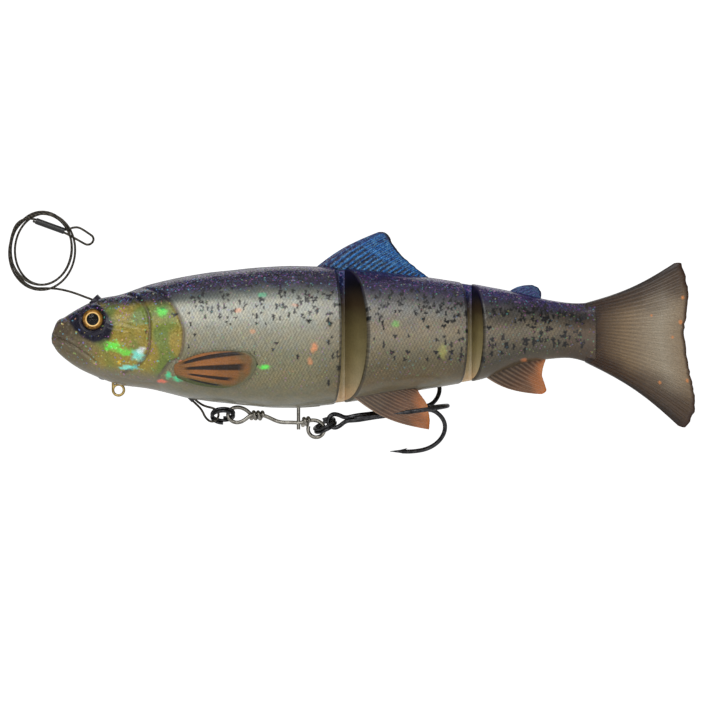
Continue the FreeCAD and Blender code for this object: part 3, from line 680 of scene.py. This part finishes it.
def glitter_normal(n, amount):
    """Each tiny flake leans its own way: the surface normal plus a random part from small cells."""
    colour, _ = n.voronoi(FLAKE_CELL)
    centred = n.add("ShaderNodeVectorMath", operation="SUBTRACT")
    n.link(colour, centred.inputs[0])
    centred.inputs[1].default_value = (0.5, 0.5, 0.5)
    scaled = n.add("ShaderNodeVectorMath", operation="SCALE")
    n.link(centred.outputs[0], scaled.inputs[0])
    n.value(amount, scaled.inputs["Scale"])
    total = n.add("ShaderNodeVectorMath", operation="ADD")
    geometry = n.add("ShaderNodeNewGeometry")
    n.link(geometry.outputs["Normal"], total.inputs[0])
    n.link(scaled.outputs[0], total.inputs[1])
    unit = n.add("ShaderNodeVectorMath", operation="NORMALIZE")
    n.link(total.outputs[0], unit.inputs[0])
    return unit.outputs[0], colour


def skin_material():
    """Painted soft plastic under a clear gloss, with leaning flakes, violet and rainbow glitter, and a
    painted glow on the neon flakes.
    """
    n = Nodes("painted_soft_skin")
    paint = n.attribute("paint", colour=True)
    glitter = n.attribute("glitter")
    violet = n.attribute("violet")
    glow = n.attribute("glow")
    normal, cells = glitter_normal(n, n.math("MULTIPLY", glitter, 1.1))
    pick = n.add("ShaderNodeSeparateColor")
    n.link(cells, pick.inputs[0])
    hue = n.add("ShaderNodeCombineColor", mode="HSV")
    n.link(pick.outputs[1], hue.inputs[0])
    hue.inputs[1].default_value = 0.75
    hue.inputs[2].default_value = 0.9
    blue = n.add("ShaderNodeCombineColor", mode="HSV")
    n.link(n.span(pick.outputs[2], 0, 1, 0.58, 0.8), blue.inputs[0])
    blue.inputs[1].default_value = 0.8
    blue.inputs[2].default_value = 0.5
    rainbow = n.math("MULTIPLY", n.span(pick.outputs[0], 0.93, 0.97), n.math("MULTIPLY", glitter, 0.75))
    colour = n.mix(rainbow, paint, hue.outputs[0])
    violets = n.math("MULTIPLY", n.span(pick.outputs[0], 0.62, 0.9), n.math("MULTIPLY", violet, 0.4))
    colour = n.mix(violets, colour, blue.outputs[0])
    grain = n.span(n.noise(1500.0, 2.0), 0.3, 0.7, 0.9, 1.1)
    tone = n.add("ShaderNodeVectorMath", operation="SCALE")
    n.link(colour, tone.inputs[0])
    n.link(grain, tone.inputs["Scale"])
    gloss = n.bump(n.noise(260.0, 2.0), 0.12, 0.0004)
    # The neon flakes glow in their paint colour: painted light from a part that is no lamp.
    return n.set(color=tone.outputs[0], metal=n.math("MULTIPLY", glitter, 0.42),
                 rough=n.span(n.noise(700.0), 0.3, 0.7, 0.3, 0.44), normal=normal,
                 coat=0.6, coat_rough=0.12, coat_normal=gloss, spec=0.35,
                 glow_color=paint, glow=n.math("MULTIPLY", glow, 0.35))


def fin_material(name, shine=0.1):
    """Thin soft plastic with painted rays under a clear gloss."""
    n = Nodes(name)
    paint = n.attribute("paint", colour=True)
    glitter = n.attribute("glitter")
    normal, cells = glitter_normal(n, n.math("MULTIPLY", glitter, 0.9))
    pick = n.add("ShaderNodeSeparateColor")
    n.link(cells, pick.inputs[0])
    bright = n.math("MULTIPLY", n.span(pick.outputs[0], 0.55, 0.95), n.math("MULTIPLY", glitter, 0.6))
    colour = n.mix(bright, paint, linear(120, 190, 235))
    speck = n.span(n.noise(2600.0, 2.0), 0.35, 0.65, 0.85, 1.12)
    tone = n.add("ShaderNodeVectorMath", operation="SCALE")
    n.link(colour, tone.inputs[0])
    n.link(speck, tone.inputs["Scale"])
    return n.set(color=tone.outputs[0], metal=n.math("MULTIPLY", glitter, shine), rough=0.36, normal=normal,
                 coat=0.3, coat_rough=0.16, coat_normal=n.bump(n.noise(420.0, 3.0), 0.2, 0.0003), spec=0.25)


def metal_material(name, dark, light, rough, scale=900.0, scratches=0.2):
    """Wire or plated metal with fine draw marks and slight colour change."""
    n = Nodes(name)
    wear = n.span(n.noise(scale, 5.0, 0.65), 0.35, 0.65)
    return n.set(color=n.mix(wear, dark, light), metal=1.0,
                 rough=n.span(n.noise(scale * 2.2, 3.0), 0.3, 0.7, rough * 0.7, rough * 1.35),
                 normal=n.bump(n.noise(scale * 3.0, 4.0), scratches, 0.00008))


def plain_material(name, dark, light, rough, coat=0.0, scale=500.0):
    """Moulded or painted surface with a fine mottle."""
    n = Nodes(name)
    mottle = n.mix(n.span(n.noise(scale, 4.0), 0.35, 0.65), dark, light)
    return n.set(color=mottle, rough=rough, coat=coat, coat_rough=0.12,
                 normal=n.bump(n.noise(scale * 3.0, 3.0), 0.25, 0.0001))


# ---------------------------------------------------------------- fins


def sheet_faces(rows, columns):
    """Faces of a thin sheet: a grid of near points, the same grid of far points, and the seam round both."""
    count = rows * columns
    near = grid_faces(rows, columns)
    far = grid_faces(rows, columns, offset=count)[:, ::-1]
    index = np.arange(count).reshape(rows, columns)
    loop = np.concatenate([index[0, :], index[1:, -1], index[-1, -2::-1], index[-2:0:-1, 0]])
    following = np.roll(loop, -1)
    seam = np.stack([loop, loop + count, following + count, following], -1)
    return np.vstack([near, far, seam])


FIN_ROWS = 90
BLUE_DEEP = linear(6, 34, 92)
BLUE_BRIGHT = linear(30, 104, 176)
FIN_DARK = linear(10, 10, 20)
FIN_BROWN = linear(84, 56, 32)
FIN_ORANGE = linear(200, 114, 50)
FIN_TIP = linear(222, 146, 88)
FIN_PALE = linear(158, 134, 112)
FIN_GREEN = linear(84, 92, 48)
TAIL_BROWN = linear(58, 34, 16)
TAIL_BEIGE = linear(172, 158, 136)
TAIL_RIM = linear(60, 36, 22)


def along_curve(points, shares):
    """Points at even shares of a smooth curve's length."""
    line = curve_through(points)
    length = np.concatenate([[0], np.cumsum(np.linalg.norm(np.diff(line, axis=0), axis=1))])
    at = shares * length[-1]
    return np.stack([np.interp(at, length, line[:, 0]), np.interp(at, length, line[:, 1])], -1)


def flank_y(x, z):
    """Half-width of the plain body at a point of the side view."""
    back, belly, half_width, widest = profile(x)
    up = np.where(z > widest, (z - widest) / (back - widest), (z - widest) / (widest - belly))
    return half_width * np.maximum(1 - up * up, 0.0) ** (FULLNESS / 2)


def build_fin(name, root, edge, bulge, thick, rays, paint, place, columns=200, ridge=0.16, ragged=0.15):
    """A thin fin between a root curve and an outer edge, with raised rays that fork near the edge.

    bulge is how far the first and last rays bow outward, thick the half-thickness at root and edge,
    and place gives the y of the middle surface at (x, z, u).
    """
    u = np.linspace(0, 1, FIN_ROWS)
    v = np.linspace(0, 1, columns)
    start, end = along_curve(root, v), along_curve(edge, v)
    reach = end - start
    span = np.linalg.norm(reach, axis=1)
    local = np.random.default_rng(len(name) + rays)
    notch = ragged * np.interp(v, np.linspace(0, 1, rays * 2), local.uniform(-1, 0.3, rays * 2))
    ends = smooth(-0.01, 0.02, np.minimum(v, 1 - v))[:, None] ** 0.05
    reach *= (1 + notch / np.maximum(span, 1))[:, None] * ends
    side = np.stack([-reach[:, 1], reach[:, 0]], -1) / np.maximum(span, 0.1)[:, None]
    bow = (bulge[0] * (1 - v) ** 2 + bulge[1] * v**2)
    flat = start[None] + reach[None] * u[:, None, None]
    flat += side[None] * (bow[None] * np.sin(math.pi * u)[:, None])[..., None]
    uu, vv = np.meshgrid(u, v, indexing="ij")
    main = np.abs(np.cos(math.pi * rays * vv)) ** 3
    fork = np.abs(np.cos(2 * math.pi * rays * vv)) ** 3
    rays_up = mix(main, np.maximum(main, fork), smooth(0.45, 0.7, uu))
    rays_up *= smooth(0.0, 0.08, uu) * smooth(1.0, 0.93, uu)
    segment = 1 - 0.25 * (np.sin(uu * span[None] * 2.2) > 0.86) * smooth(0.3, 0.5, uu)
    half = mix(thick[0], thick[1], uu**0.7) + ridge * rays_up * segment * (1 - 0.45 * uu)
    rim = np.minimum(np.minimum(vv, 1 - vv) * span.mean() / 0.5, (1 - uu) * span[None] / 0.5)
    half = half * np.sqrt(np.clip(rim, 0.0, 1.0)) + 0.02
    x, z = flat[..., 0].ravel(), flat[..., 1].ravel()
    middle = place(x, z, uu.ravel())
    near = np.stack([x, middle - half.ravel(), z], -1)
    far = np.stack([x, middle + half.ravel(), z], -1)
    colour, glitter = paint(uu.ravel(), vv.ravel(), rays_up.ravel(), x, z)
    return make_mesh(name, np.vstack([near, far]), sheet_faces(FIN_ROWS, columns),
                     np.vstack([colour, colour]), {"glitter": np.concatenate([glitter, glitter])})


def dorsal_paint(u, v, rays, x, z):
    points = np.stack([x, 0 * x, z], -1)
    colour = mix(BLUE_DEEP, BLUE_BRIGHT, smooth(-0.2, 0.8, rays * 1.2 - 0.3 + 0.6 * noise(points, 3.0, 21)))
    colour = mix(colour, FIN_DARK, smooth(0.45, 0.1, rays) * 0.75)
    colour = mix(colour, FIN_DARK, smooth(0.95, 0.99, u) * 0.9)
    colour = mix(colour, linear(60, 42, 84), smooth(0.16, 0.03, v) * 0.7)
    return colour, 0.35 + 0.6 * rays


def adipose_paint(u, v, rays, x, z):
    colour = mix(linear(30, 38, 84), linear(52, 60, 120), rays)
    return mix(colour, FIN_DARK, smooth(0.5, 1.0, u) * 0.4), np.full(len(u), 0.5)


ORANGE_RAMP = [
    (0.1, linear(96, 80, 60)), (0.4, FIN_BROWN), (0.75, linear(124, 78, 44)), (1.05, FIN_ORANGE),
    (1.3, FIN_TIP),
]
PECTORAL_RAMP = [
    (0.0, linear(140, 100, 54)), (0.35, linear(176, 112, 58)), (0.75, linear(150, 98, 50)),
    (1.0, linear(110, 96, 60)),
]
# Each dark stripe of a pectoral fin: where across the fin, half-width, first and last share of the length
PECTORAL_STRIPES = [
    (0.13, 0.075, 0.12, 0.92), (0.36, 0.06, 0.14, 0.86), (0.56, 0.045, 0.2, 0.8), (0.75, 0.04, 0.24, 0.8),
]
TAIL_FIN_RAMP = [
    (0.0, linear(78, 62, 46)), (0.14, linear(84, 62, 42)), (0.4, linear(146, 122, 92)), (0.75, TAIL_BEIGE),
    (0.97, linear(150, 128, 100)),
]
# Orange flecks of the tail fin: distance along, height, radius
TAIL_FLECKS = [
    (195.5, 6.2, 0.6), (196.2, 13.8, 0.5), (189.0, -12.6, 0.45), (197.6, -12.0, 0.5), (193.0, 1.5, 0.4),
    (186.5, 8.2, 0.35),
]


def orange_paint(u, v, rays, x, z):
    points = np.stack([x, 0 * x, z], -1)
    tone = u + 0.35 * v + 0.12 * noise(points, 5.0, 22)
    colour = ramp(tone, ORANGE_RAMP)
    colour = mix(colour, FIN_PALE, rays * 0.4)
    colour = mix(colour, linear(40, 24, 14), smooth(0.4, 0.0, rays) * 0.45 * smooth(1.15, 0.7, tone))
    return mix(colour, linear(214, 176, 146), smooth(0.05, 0.0, v) * 0.35), np.full(len(u), 0.03)


def pectoral_paint(u, v, rays, x, z):
    points = np.stack([x, 0 * x, z], -1)
    colour = ramp(u + 0.1 * noise(points, 4.0, 23), PECTORAL_RAMP)
    colour = mix(colour, FIN_GREEN, smooth(0.62, 0.85, v))
    stripes = np.zeros(len(u))
    for centre, width, first, last in PECTORAL_STRIPES:
        bow = centre + 0.03 * np.sin(3 * u)
        stripe = smooth(width, width * 0.55, np.abs(v - bow)) * smooth(first - 0.05, first + 0.05, u)
        stripes = np.maximum(stripes, stripe * smooth(last + 0.05, last - 0.08, u))
    colour = mix(colour, linear(14, 12, 10), 0.94 * stripes)
    edge = np.maximum(smooth(0.93, 0.99, u), smooth(0.96, 0.995, v))
    return mix(colour, linear(120, 122, 92), edge * 0.8), np.full(len(u), 0.05)


def tail_paint(u, v, rays, x, z):
    points = np.stack([x, 0 * x, z], -1)
    middle = np.abs(2 * v - 1)
    colour = ramp(u, TAIL_FIN_RAMP)
    brown = smooth(0.36, 0.86, middle + 0.06 * noise(points, 8.0, 24))
    colour = mix(colour, TAIL_BROWN, 0.85 * brown)
    colour = mix(colour, linear(38, 24, 15), smooth(0.86, 1.0, middle) * 0.85 * smooth(0.1, 0.4, u))
    between = smooth(0.55, 0.05, rays) * smooth(0.95, 0.6, u) * smooth(0.05, 0.25, u)
    colour = mix(colour, colour * 0.62, between * 0.7)
    colour = mix(colour, TAIL_RIM, smooth(0.955, 0.985, u) * 0.85)
    dark_root = smooth(0.2, 0.03, u) * smooth(0.25, 0.6, noise(points, 2.2, 25) + 0.5)
    colour = mix(colour, linear(40, 30, 24), dark_root * 0.8)
    for fx, fz, r in TAIL_FLECKS:
        fleck = smooth(r * 1.6, r * 0.7, np.hypot((x - fx) * 1.3, z - fz))
        colour = mix(colour, linear(236, 150, 84), 0.8 * fleck)
    return colour, np.full(len(u), 0.03)


def on_middle(x, z, u):
    return np.zeros(len(x))


PELVIC_Y = 4.15
PELVIC_HINGE_Z = -15.0
PELVIC_SPLAY = math.tan(math.radians(14))


def pelvic_place(side):
    return lambda x, z, u: side * (PELVIC_Y + PELVIC_SPLAY * np.maximum(PELVIC_HINGE_Z - z, 0))


def pectoral_place(side):
    return lambda x, z, u: side * (flank_y(x, z) + 0.1 + 0.95 * smooth(0.0, 0.6, u) + 0.15 * np.sin(5 * u))


# Fin outlines in the side view: each root along the body, and each outer edge
PELVIC_ROOT = [(93.8, -17.0), (99.0, -16.2), (106.0, -15.0), (113.2, -14.4)]
PELVIC_EDGE = [(117.3, -27.3), (117.6, -24.5), (117.3, -21.6), (116.5, -18.8), (114.2, -15.6)]
PECTORAL_ROOT = [(39.0, -6.9), (38.8, -9.0), (39.8, -11.2)]
PECTORAL_EDGE = [
    (57.5, -2.9), (61.6, -3.4), (64.2, -5.6), (63.9, -8.6), (61.0, -12.2), (56.0, -14.2), (50.5, -14.1),
]
ANAL_ROOT = [(134.2, -10.4), (140.0, -8.3), (147.0, -5.7), (153.4, -4.4)]
ANAL_EDGE = [(150.6, -16.2), (153.0, -16.1), (153.9, -14.7), (153.1, -12.2), (152.6, -9.6), (153.7, -5.5)]
DORSAL_ROOT = [(82.4, 23.3), (87.0, 22.7), (90.8, 22.0), (93.6, 21.9), (104.0, 21.0), (116.6, 19.4)]
DORSAL_EDGE = [
    (101.4, 34.2), (103.6, 34.1), (105.2, 32.6), (106.0, 30.8), (108.4, 27.6), (112.0, 24.2), (117.2, 20.2),
]
ADIPOSE_ROOT = [(141.4, 15.0), (146.0, 14.4), (152.0, 13.0)]
ADIPOSE_EDGE = [(149.4, 17.8), (151.2, 17.0), (152.3, 15.4), (152.3, 13.3)]
TAIL_ROOT = [(166.0, 12.15), (166.0, 6.0), (166.0, 1.0), (166.0, -6.4)]
TAIL_EDGE = [
    (195.6, 25.4), (197.2, 20.4), (198.1, 13.6), (197.3, 7.5), (196.8, 3.1), (197.4, -2.5), (198.6, -9.6),
    (200.0, -17.0), (199.8, -22.0), (196.8, -27.4),
]


def make_fins(fin_skin, blue_skin):
    """All eight fins, each but the tail fin on the section that carries it."""
    for side, word in ((-1, "left"), (1, "right")):
        pelvic = build_fin(word + "_pelvic_fin_soft", PELVIC_ROOT, PELVIC_EDGE, (-2.0, 0.3), (0.55, 0.2), 13,
                           orange_paint, pelvic_place(side))
        finish_piece(pelvic, fin_skin, "middle_section", "orange_fin", word + "_pelvic_fin")
        pectoral = build_fin(word + "_pectoral_fin_soft", PECTORAL_ROOT, PECTORAL_EDGE, (1.5, -0.6),
                             (0.5, 0.22), 9, pectoral_paint, pectoral_place(side), columns=160, ridge=0.14)
        finish_piece(pectoral, fin_skin, "front_section", "orange_fin", word + "_pectoral_fin")
    anal = build_fin("anal_fin_soft", ANAL_ROOT, ANAL_EDGE, (-1.4, 0.0), (0.65, 0.2), 12,
                     orange_paint, on_middle)
    finish_piece(anal, fin_skin, "rear_section", "orange_fin", "anal_fin")
    dorsal = build_fin("dorsal_fin_soft", DORSAL_ROOT, DORSAL_EDGE, (1.0, 0.2), (0.7, 0.2), 17,
                       dorsal_paint, on_middle, columns=260, ridge=0.2)
    finish_piece(dorsal, blue_skin, "middle_section", "blue_fin", "dorsal_fin")
    adipose = build_fin("adipose_fin_soft", ADIPOSE_ROOT, ADIPOSE_EDGE, (0.9, 0.0), (0.7, 0.25), 7,
                        adipose_paint, on_middle, columns=80, ridge=0.08)
    finish_piece(adipose, blue_skin, "rear_section", "blue_fin", "adipose_fin")
    tail = build_fin("tail_fin_soft", TAIL_ROOT, TAIL_EDGE, (-1.5, 1.7), (2.0, 0.3), 26,
                     tail_paint, on_middle, columns=380, ridge=0.2, ragged=0.35)
    finish_piece(tail, fin_skin, None, "tail_fin", "tail_fin")
    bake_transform(tail)


def finish_piece(obj, material, body, slot, *nodes):
    """Gives a piece its material and its place on a body, and hides the CAD nodes it stands for."""
    obj.data.materials.clear()
    obj.data.materials.append(material)
    if body:
        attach(obj, body)
    if nodes:
        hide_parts(*nodes)
    return obj


# ---------------------------------------------------------------- hinges, eyes and tackle


def hinge_web(name, front_line, rear_line, cad_web, material):
    """The soft sheet in the middle of a hinge gap, pinched thinner halfway."""
    low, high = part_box(cad_web)
    x0, x1 = front_line[0], rear_line[0]
    columns, rows = 24, 200
    half = (high.y - low.y) / 2 / MM
    x = np.linspace(x0 - 0.3, x1 + 0.3, columns)
    share = np.linspace(0, 1, rows)
    back, belly, _, _ = profile(x)
    gx = np.broadcast_to(x[None], (rows, columns)).ravel()
    gz = (belly[None] + 0.35 + (back - belly - 0.7)[None] * share[:, None]).ravel()
    pinch = 1 - 0.22 * np.exp(-(((gx - (x0 + x1) / 2) / 0.8) ** 2))
    rim = np.sqrt(np.clip(np.minimum(share, 1 - share) / 0.02, 0.02, 1.0)).repeat(columns)
    y = half * pinch * rim * (1 + 0.03 * np.sin(gz * 2.0))
    near, far = np.stack([gx, -y, gz], -1), np.stack([gx, y, gz], -1)
    # At the middle plane face_paint adds its full painted light, so the web is painted lighter against the
    # shade in the gap.
    colour = face_paint(gx, 0 * gx, gz)
    sparkle = smooth(0.7, 0.95, (gz - gz.min()) / (gz.max() - gz.min()))
    colour = mix(colour, linear(40, 60, 150), 0.35 * sparkle)
    masks = {key: np.concatenate([values, values]) for key, values in
             {"glitter": 0.5 * sparkle, "violet": sparkle, "glow": 0 * sparkle}.items()}
    points = np.vstack([near, far])
    web = make_mesh(name, points, sheet_faces(rows, columns), np.vstack([colour, colour]), masks)
    finish_piece(web, material, None, "hinge_web", cad_web)
    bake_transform(web)


STRAND_PITCH = 1.1
STRAND_RADIUS = 0.14
STRAND_WAVE = 0.12


def hinge_strip(name, cad_mesh, material):
    """The woven strip inside a hinge: crossed strands that pass over and under each other."""
    low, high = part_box(cad_mesh)
    low, high = np.array(low) / MM, np.array(high) / MM
    points, faces = [], []
    sides = 6
    ring = np.linspace(0, 2 * math.pi, sides, endpoint=False)
    sideways = np.array([0, 1.0, 0])

    def strand(path, across):
        first = len(points)
        for p in path:
            for a in ring:
                points.append(p + STRAND_RADIUS * (math.cos(a) * across + math.sin(a) * sideways))
        for i in range(len(path) - 1):
            for k in range(sides):
                a, b = first + i * sides + k, first + i * sides + (k + 1) % sides
                faces.append((a, b, b + sides, a + sides))
        faces.append(tuple(first + k for k in reversed(range(sides))))
        last = first + (len(path) - 1) * sides
        faces.append(tuple(last + k for k in range(sides)))

    for n, z in enumerate(np.arange(low[2] + 0.4, high[2], STRAND_PITCH)):
        xs = np.arange(low[0] + 0.2, high[0] - 0.1, STRAND_PITCH / 4)
        waves = [STRAND_WAVE * math.cos(math.pi * (x - low[0]) / STRAND_PITCH + n * math.pi) for x in xs]
        strand([np.array([x, y, z]) for x, y in zip(xs, waves)], np.array([0, 0, 1.0]))
    for n, x in enumerate(np.arange(low[0] + 0.4, high[0], STRAND_PITCH)):
        zs = np.arange(low[2] + 0.2, high[2] - 0.1, STRAND_PITCH / 4)
        waves = [-STRAND_WAVE * math.cos(math.pi * (z - low[2]) / STRAND_PITCH + n * math.pi) for z in zs]
        strand([np.array([x, y, z]) for y, z in zip(waves, zs)], np.array([1.0, 0, 0]))
    mesh = bpy.data.meshes.new(name)
    mesh.from_pydata((np.array(points) * MM).tolist(), [], faces)
    mesh.shade_smooth()
    strip = bpy.data.objects.new(name, mesh)
    bpy.context.scene.collection.objects.link(strip)
    finish_piece(strip, material, None, "hinge_mesh", cad_mesh)
    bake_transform(strip)


def iris_material():
    """Gold foil with fine spokes, a pale ring round a black pupil and a dark outer rim, with a painted glow
    in its own colour.
    """
    n = Nodes("gold_foil_iris")
    low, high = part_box("left_eye_iris")
    centre = (low + high) / 2
    split = n.add("ShaderNodeSeparateXYZ")
    n.link(n.position(), split.inputs[0])
    dx = n.math("SUBTRACT", split.outputs[0], centre.x)
    dz = n.math("SUBTRACT", split.outputs[2], centre.z)
    radius = n.math("SQRT", n.math("ADD", n.math("MULTIPLY", dx, dx), n.math("MULTIPLY", dz, dz)))
    spokes = n.math("SINE", n.math("MULTIPLY", n.math("ARCTAN2", dz, dx), 46.0))
    foil = n.mix(n.span(n.noise(1400.0, 5.0), 0.35, 0.65), linear(120, 78, 20), linear(206, 158, 62))
    foil = n.mix(n.math("MULTIPLY", n.span(spokes, -1, 1), 0.35), foil, linear(84, 52, 14))
    outer = n.span(radius, 0.0024, 0.0031)
    colour = n.mix(outer, foil, linear(52, 36, 16))
    pale = n.math("MULTIPLY", n.span(radius, 0.0022, 0.0019), n.span(radius, 0.0015, 0.00165))
    colour = n.mix(pale, colour, linear(236, 214, 158))
    pupil = n.span(radius, 0.00172, 0.00162)
    colour = n.mix(pupil, colour, (0.003, 0.003, 0.003))
    metal = n.math("SUBTRACT", 0.3, n.math("MULTIPLY", pupil, 0.3))
    # Painted light: the iris glows in its own colour.
    return n.set(color=colour, metal=metal, rough=0.34, normal=n.bump(spokes, 0.15, 0.00005),
                 coat=0.4, coat_rough=0.1, glow_color=colour, glow=0.3)


def dome_material():
    """Clear cast dome over the eye, with the faintest surface ripple."""
    n = Nodes("clear_cast_dome")
    shadow = n.add("ShaderNodeLightPath").outputs["Is Shadow Ray"]
    return n.set(color=(1.0, 0.99, 0.97), rough=0.02, transmission=1.0, ior=1.3, spec=0.6,
                 alpha=n.span(shadow, 0, 1, 1.0, 0.05),
                 normal=n.bump(n.noise(900.0, 2.0), 0.03, 0.00005))


def cable_copy(cad_name, name, material):
    """The leader cable: a copy of the CAD leader wire's mesh with its own material, in place of the CAD part.
    """
    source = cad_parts[cad_name]
    mesh = source.data.copy()
    mesh.name = name
    cable = bpy.data.objects.new(name, mesh)
    bpy.context.scene.collection.objects.link(cable)
    finish_piece(cable, material, None, "leader", cad_name)
    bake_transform(cable)


def cable_material():
    """Dark coated cable whose fine strands twist along it."""
    n = Nodes("twisted_cable")
    wave = n.add("ShaderNodeTexWave", wave_type="BANDS", bands_direction="DIAGONAL")
    n.link(n.position(), wave.inputs["Vector"])
    wave.inputs["Scale"].default_value = 420.0
    wave.inputs["Distortion"].default_value = 1.2
    colour = n.mix(wave.outputs["Fac"], linear(38, 35, 30), linear(92, 86, 76))
    return n.set(color=colour, metal=0.75, rough=0.42, normal=n.bump(wave.outputs["Fac"], 0.6, 0.0001))


def dress_cad_parts():
    """Materials for the CAD parts that are shown as they are."""
    steel = metal_material("bright_stainless", linear(112, 108, 100), linear(176, 172, 162), 0.22,
                           scratches=0.25)
    nickel = metal_material("black_nickel", linear(34, 34, 36), linear(88, 88, 90), 0.2, scratches=0.15)
    brass = metal_material("polished_brass", linear(150, 124, 68), linear(214, 188, 124), 0.24)
    lead = metal_material("dull_ballast", linear(80, 82, 86), linear(120, 122, 126), 0.6, 300.0, 0.5)
    crimp_black = (linear(12, 12, 12), linear(30, 30, 30), 0.35, 0.3, 900.0)
    looks = {
        "chin_eyelet": brass, "head_ballast": lead, "belly_ballast": lead,
        "line_tube": plain_material("dark_tube", linear(26, 22, 36), linear(46, 40, 60), 0.3, 0.6),
        "pin_socket": plain_material("firm_socket", linear(120, 116, 96), linear(140, 134, 112), 0.4, 0.4),
        "front_crimp": plain_material("black_crimp", *crimp_black),
        "rear_crimp": plain_material("black_rear_crimp", *crimp_black),
        "front_ring": nickel, "rear_ring": nickel, "stinger_wire": steel,
        "treble_double_hook": nickel, "treble_third_hook": nickel,
        "left_eye_iris": iris_material(), "left_eye_dome": dome_material(),
    }
    looks["right_eye_iris"] = looks["left_eye_iris"]
    looks["right_eye_dome"] = looks["left_eye_dome"]
    for name, material in looks.items():
        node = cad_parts[name]
        node.data.materials.clear()
        node.data.materials.append(material)
        node.data.shade_smooth()


# ---------------------------------------------------------------- stage and camera


def area_light(name, place, target, size, power, colour=(1, 1, 1)):
    light = bpy.data.lights.new(name, "AREA")
    light.shape = "RECTANGLE"
    light.size, light.size_y = size
    light.energy = power
    light.color = colour
    lamp = bpy.data.objects.new(name, light)
    bpy.context.scene.collection.objects.link(lamp)
    lamp.location = place
    direction = np.array(target) - np.array(place)
    lamp.rotation_euler = Vector(direction).to_track_quat("-Z", "Y").to_euler()


FLOOR_DROP = 0.11
WALL_Y = 2.4


def make_stage():
    """A pale floor that curves up into a wall, soft light and a dim white world."""
    floor_z = cad_box[0][2] - FLOOR_DROP
    angles = np.linspace(0, math.pi / 2, 16)
    wall_y, radius = WALL_Y, 0.5
    profile_line = [(-3.0, floor_z)] + [
        (wall_y - radius + radius * math.sin(a), floor_z + radius - radius * math.cos(a)) for a in angles
    ] + [(wall_y, 3.0)]
    points = [(x, y, z) for y, z in profile_line for x in (-3.0, 3.0)]
    faces = [(2 * i, 2 * i + 1, 2 * i + 3, 2 * i + 2) for i in range(len(profile_line) - 1)]
    floor = make_mesh("pale_floor", np.array(points) / MM + NOSE_TO_ORIGIN, faces)
    n = Nodes("pale_paper")
    tone = n.mix(n.noise(4.0), (0.9, 0.9, 0.9), (0.94, 0.94, 0.94))
    seen = n.add("ShaderNodeLightPath").outputs["Is Camera Ray"]
    glow = n.span(seen, 0, 1, 0.08, 0.85)
    floor.data.materials.append(n.set(color=tone, rough=0.9, glow_color=(1.0, 1.0, 1.0), glow=glow))
    centre = in_frame((96, 0, 0))
    area_light("top_softbox", in_frame((50, -350, 850)), centre, (1.1, 0.8), 1.5)
    area_light("front_softbox", in_frame((-160, -950, 560)), centre, (1.0, 0.5), 4.2)
    area_light("back_softbox", in_frame((100, 600, 600)), centre, (1.0, 0.5), 1.5)
    area_light("low_fill", in_frame((100, -700, -30)), centre, (0.9, 0.2), 0.5)
    world = bpy.data.worlds.new("studio")
    world.use_nodes = True
    world.node_tree.nodes["Background"].inputs["Color"].default_value = (1.0, 1.0, 1.0, 1.0)
    world.node_tree.nodes["Background"].inputs["Strength"].default_value = 0.2
    bpy.context.scene.world = world
    bpy.context.scene.view_settings.view_transform = "Standard"


FRAME_WIDTH = 0.2236
LENS = 200.0
SENSOR = 36.0


def make_camera():
    """A long lens looking squarely at the left flank."""
    camera = bpy.data.cameras.new("camera")
    camera.lens = LENS
    camera.sensor_width = SENSOR
    camera.clip_end = 10.0
    holder = bpy.data.objects.new("camera", camera)
    bpy.context.scene.collection.objects.link(holder)
    holder.location = in_frame((96, -FRAME_WIDTH * LENS / SENSOR / MM, -5.6))
    holder.rotation_euler = (math.pi / 2, 0, 0)
    bpy.context.scene.camera = holder


# ---------------------------------------------------------------- the whole object

skin = skin_material()
fin_skin = fin_material("orange_soft_fin")
blue_skin = fin_material("blue_glitter_fin", 0.7)
weave = plain_material("nylon_weave", linear(34, 34, 36), linear(70, 70, 74), 0.6)

for place, start, end in (
    ("front", NOSE_X, FRONT_RIM),
    ("middle", MIDDLE_NOSE, MIDDLE_RIM),
    ("rear", REAR_NOSE, TAIL_HINGE_X + 0.6),
):
    section = body_section(place + "_soft_body", start, end)
    finish_piece(section, skin, place + "_section", place + "_skin", place + "_body")
make_fins(fin_skin, blue_skin)
hinges = (
    ("front", FRONT_RIM, MIDDLE_NOSE, "front_section", "middle_section"),
    ("rear", MIDDLE_RIM, REAR_NOSE, "middle_section", "rear_section"),
)
for place, rim, nose, parent, child in hinges:
    hinge_web(place + "_soft_web", rim, nose, place + "_hinge_web", skin)
for place, rim, nose, parent, child in hinges:
    hinge_strip(place + "_woven_strip", place + "_hinge_mesh", weave)
cable_copy("leader_wire", "leader_cable", cable_material())
dress_cad_parts()
make_stage()
make_camera()
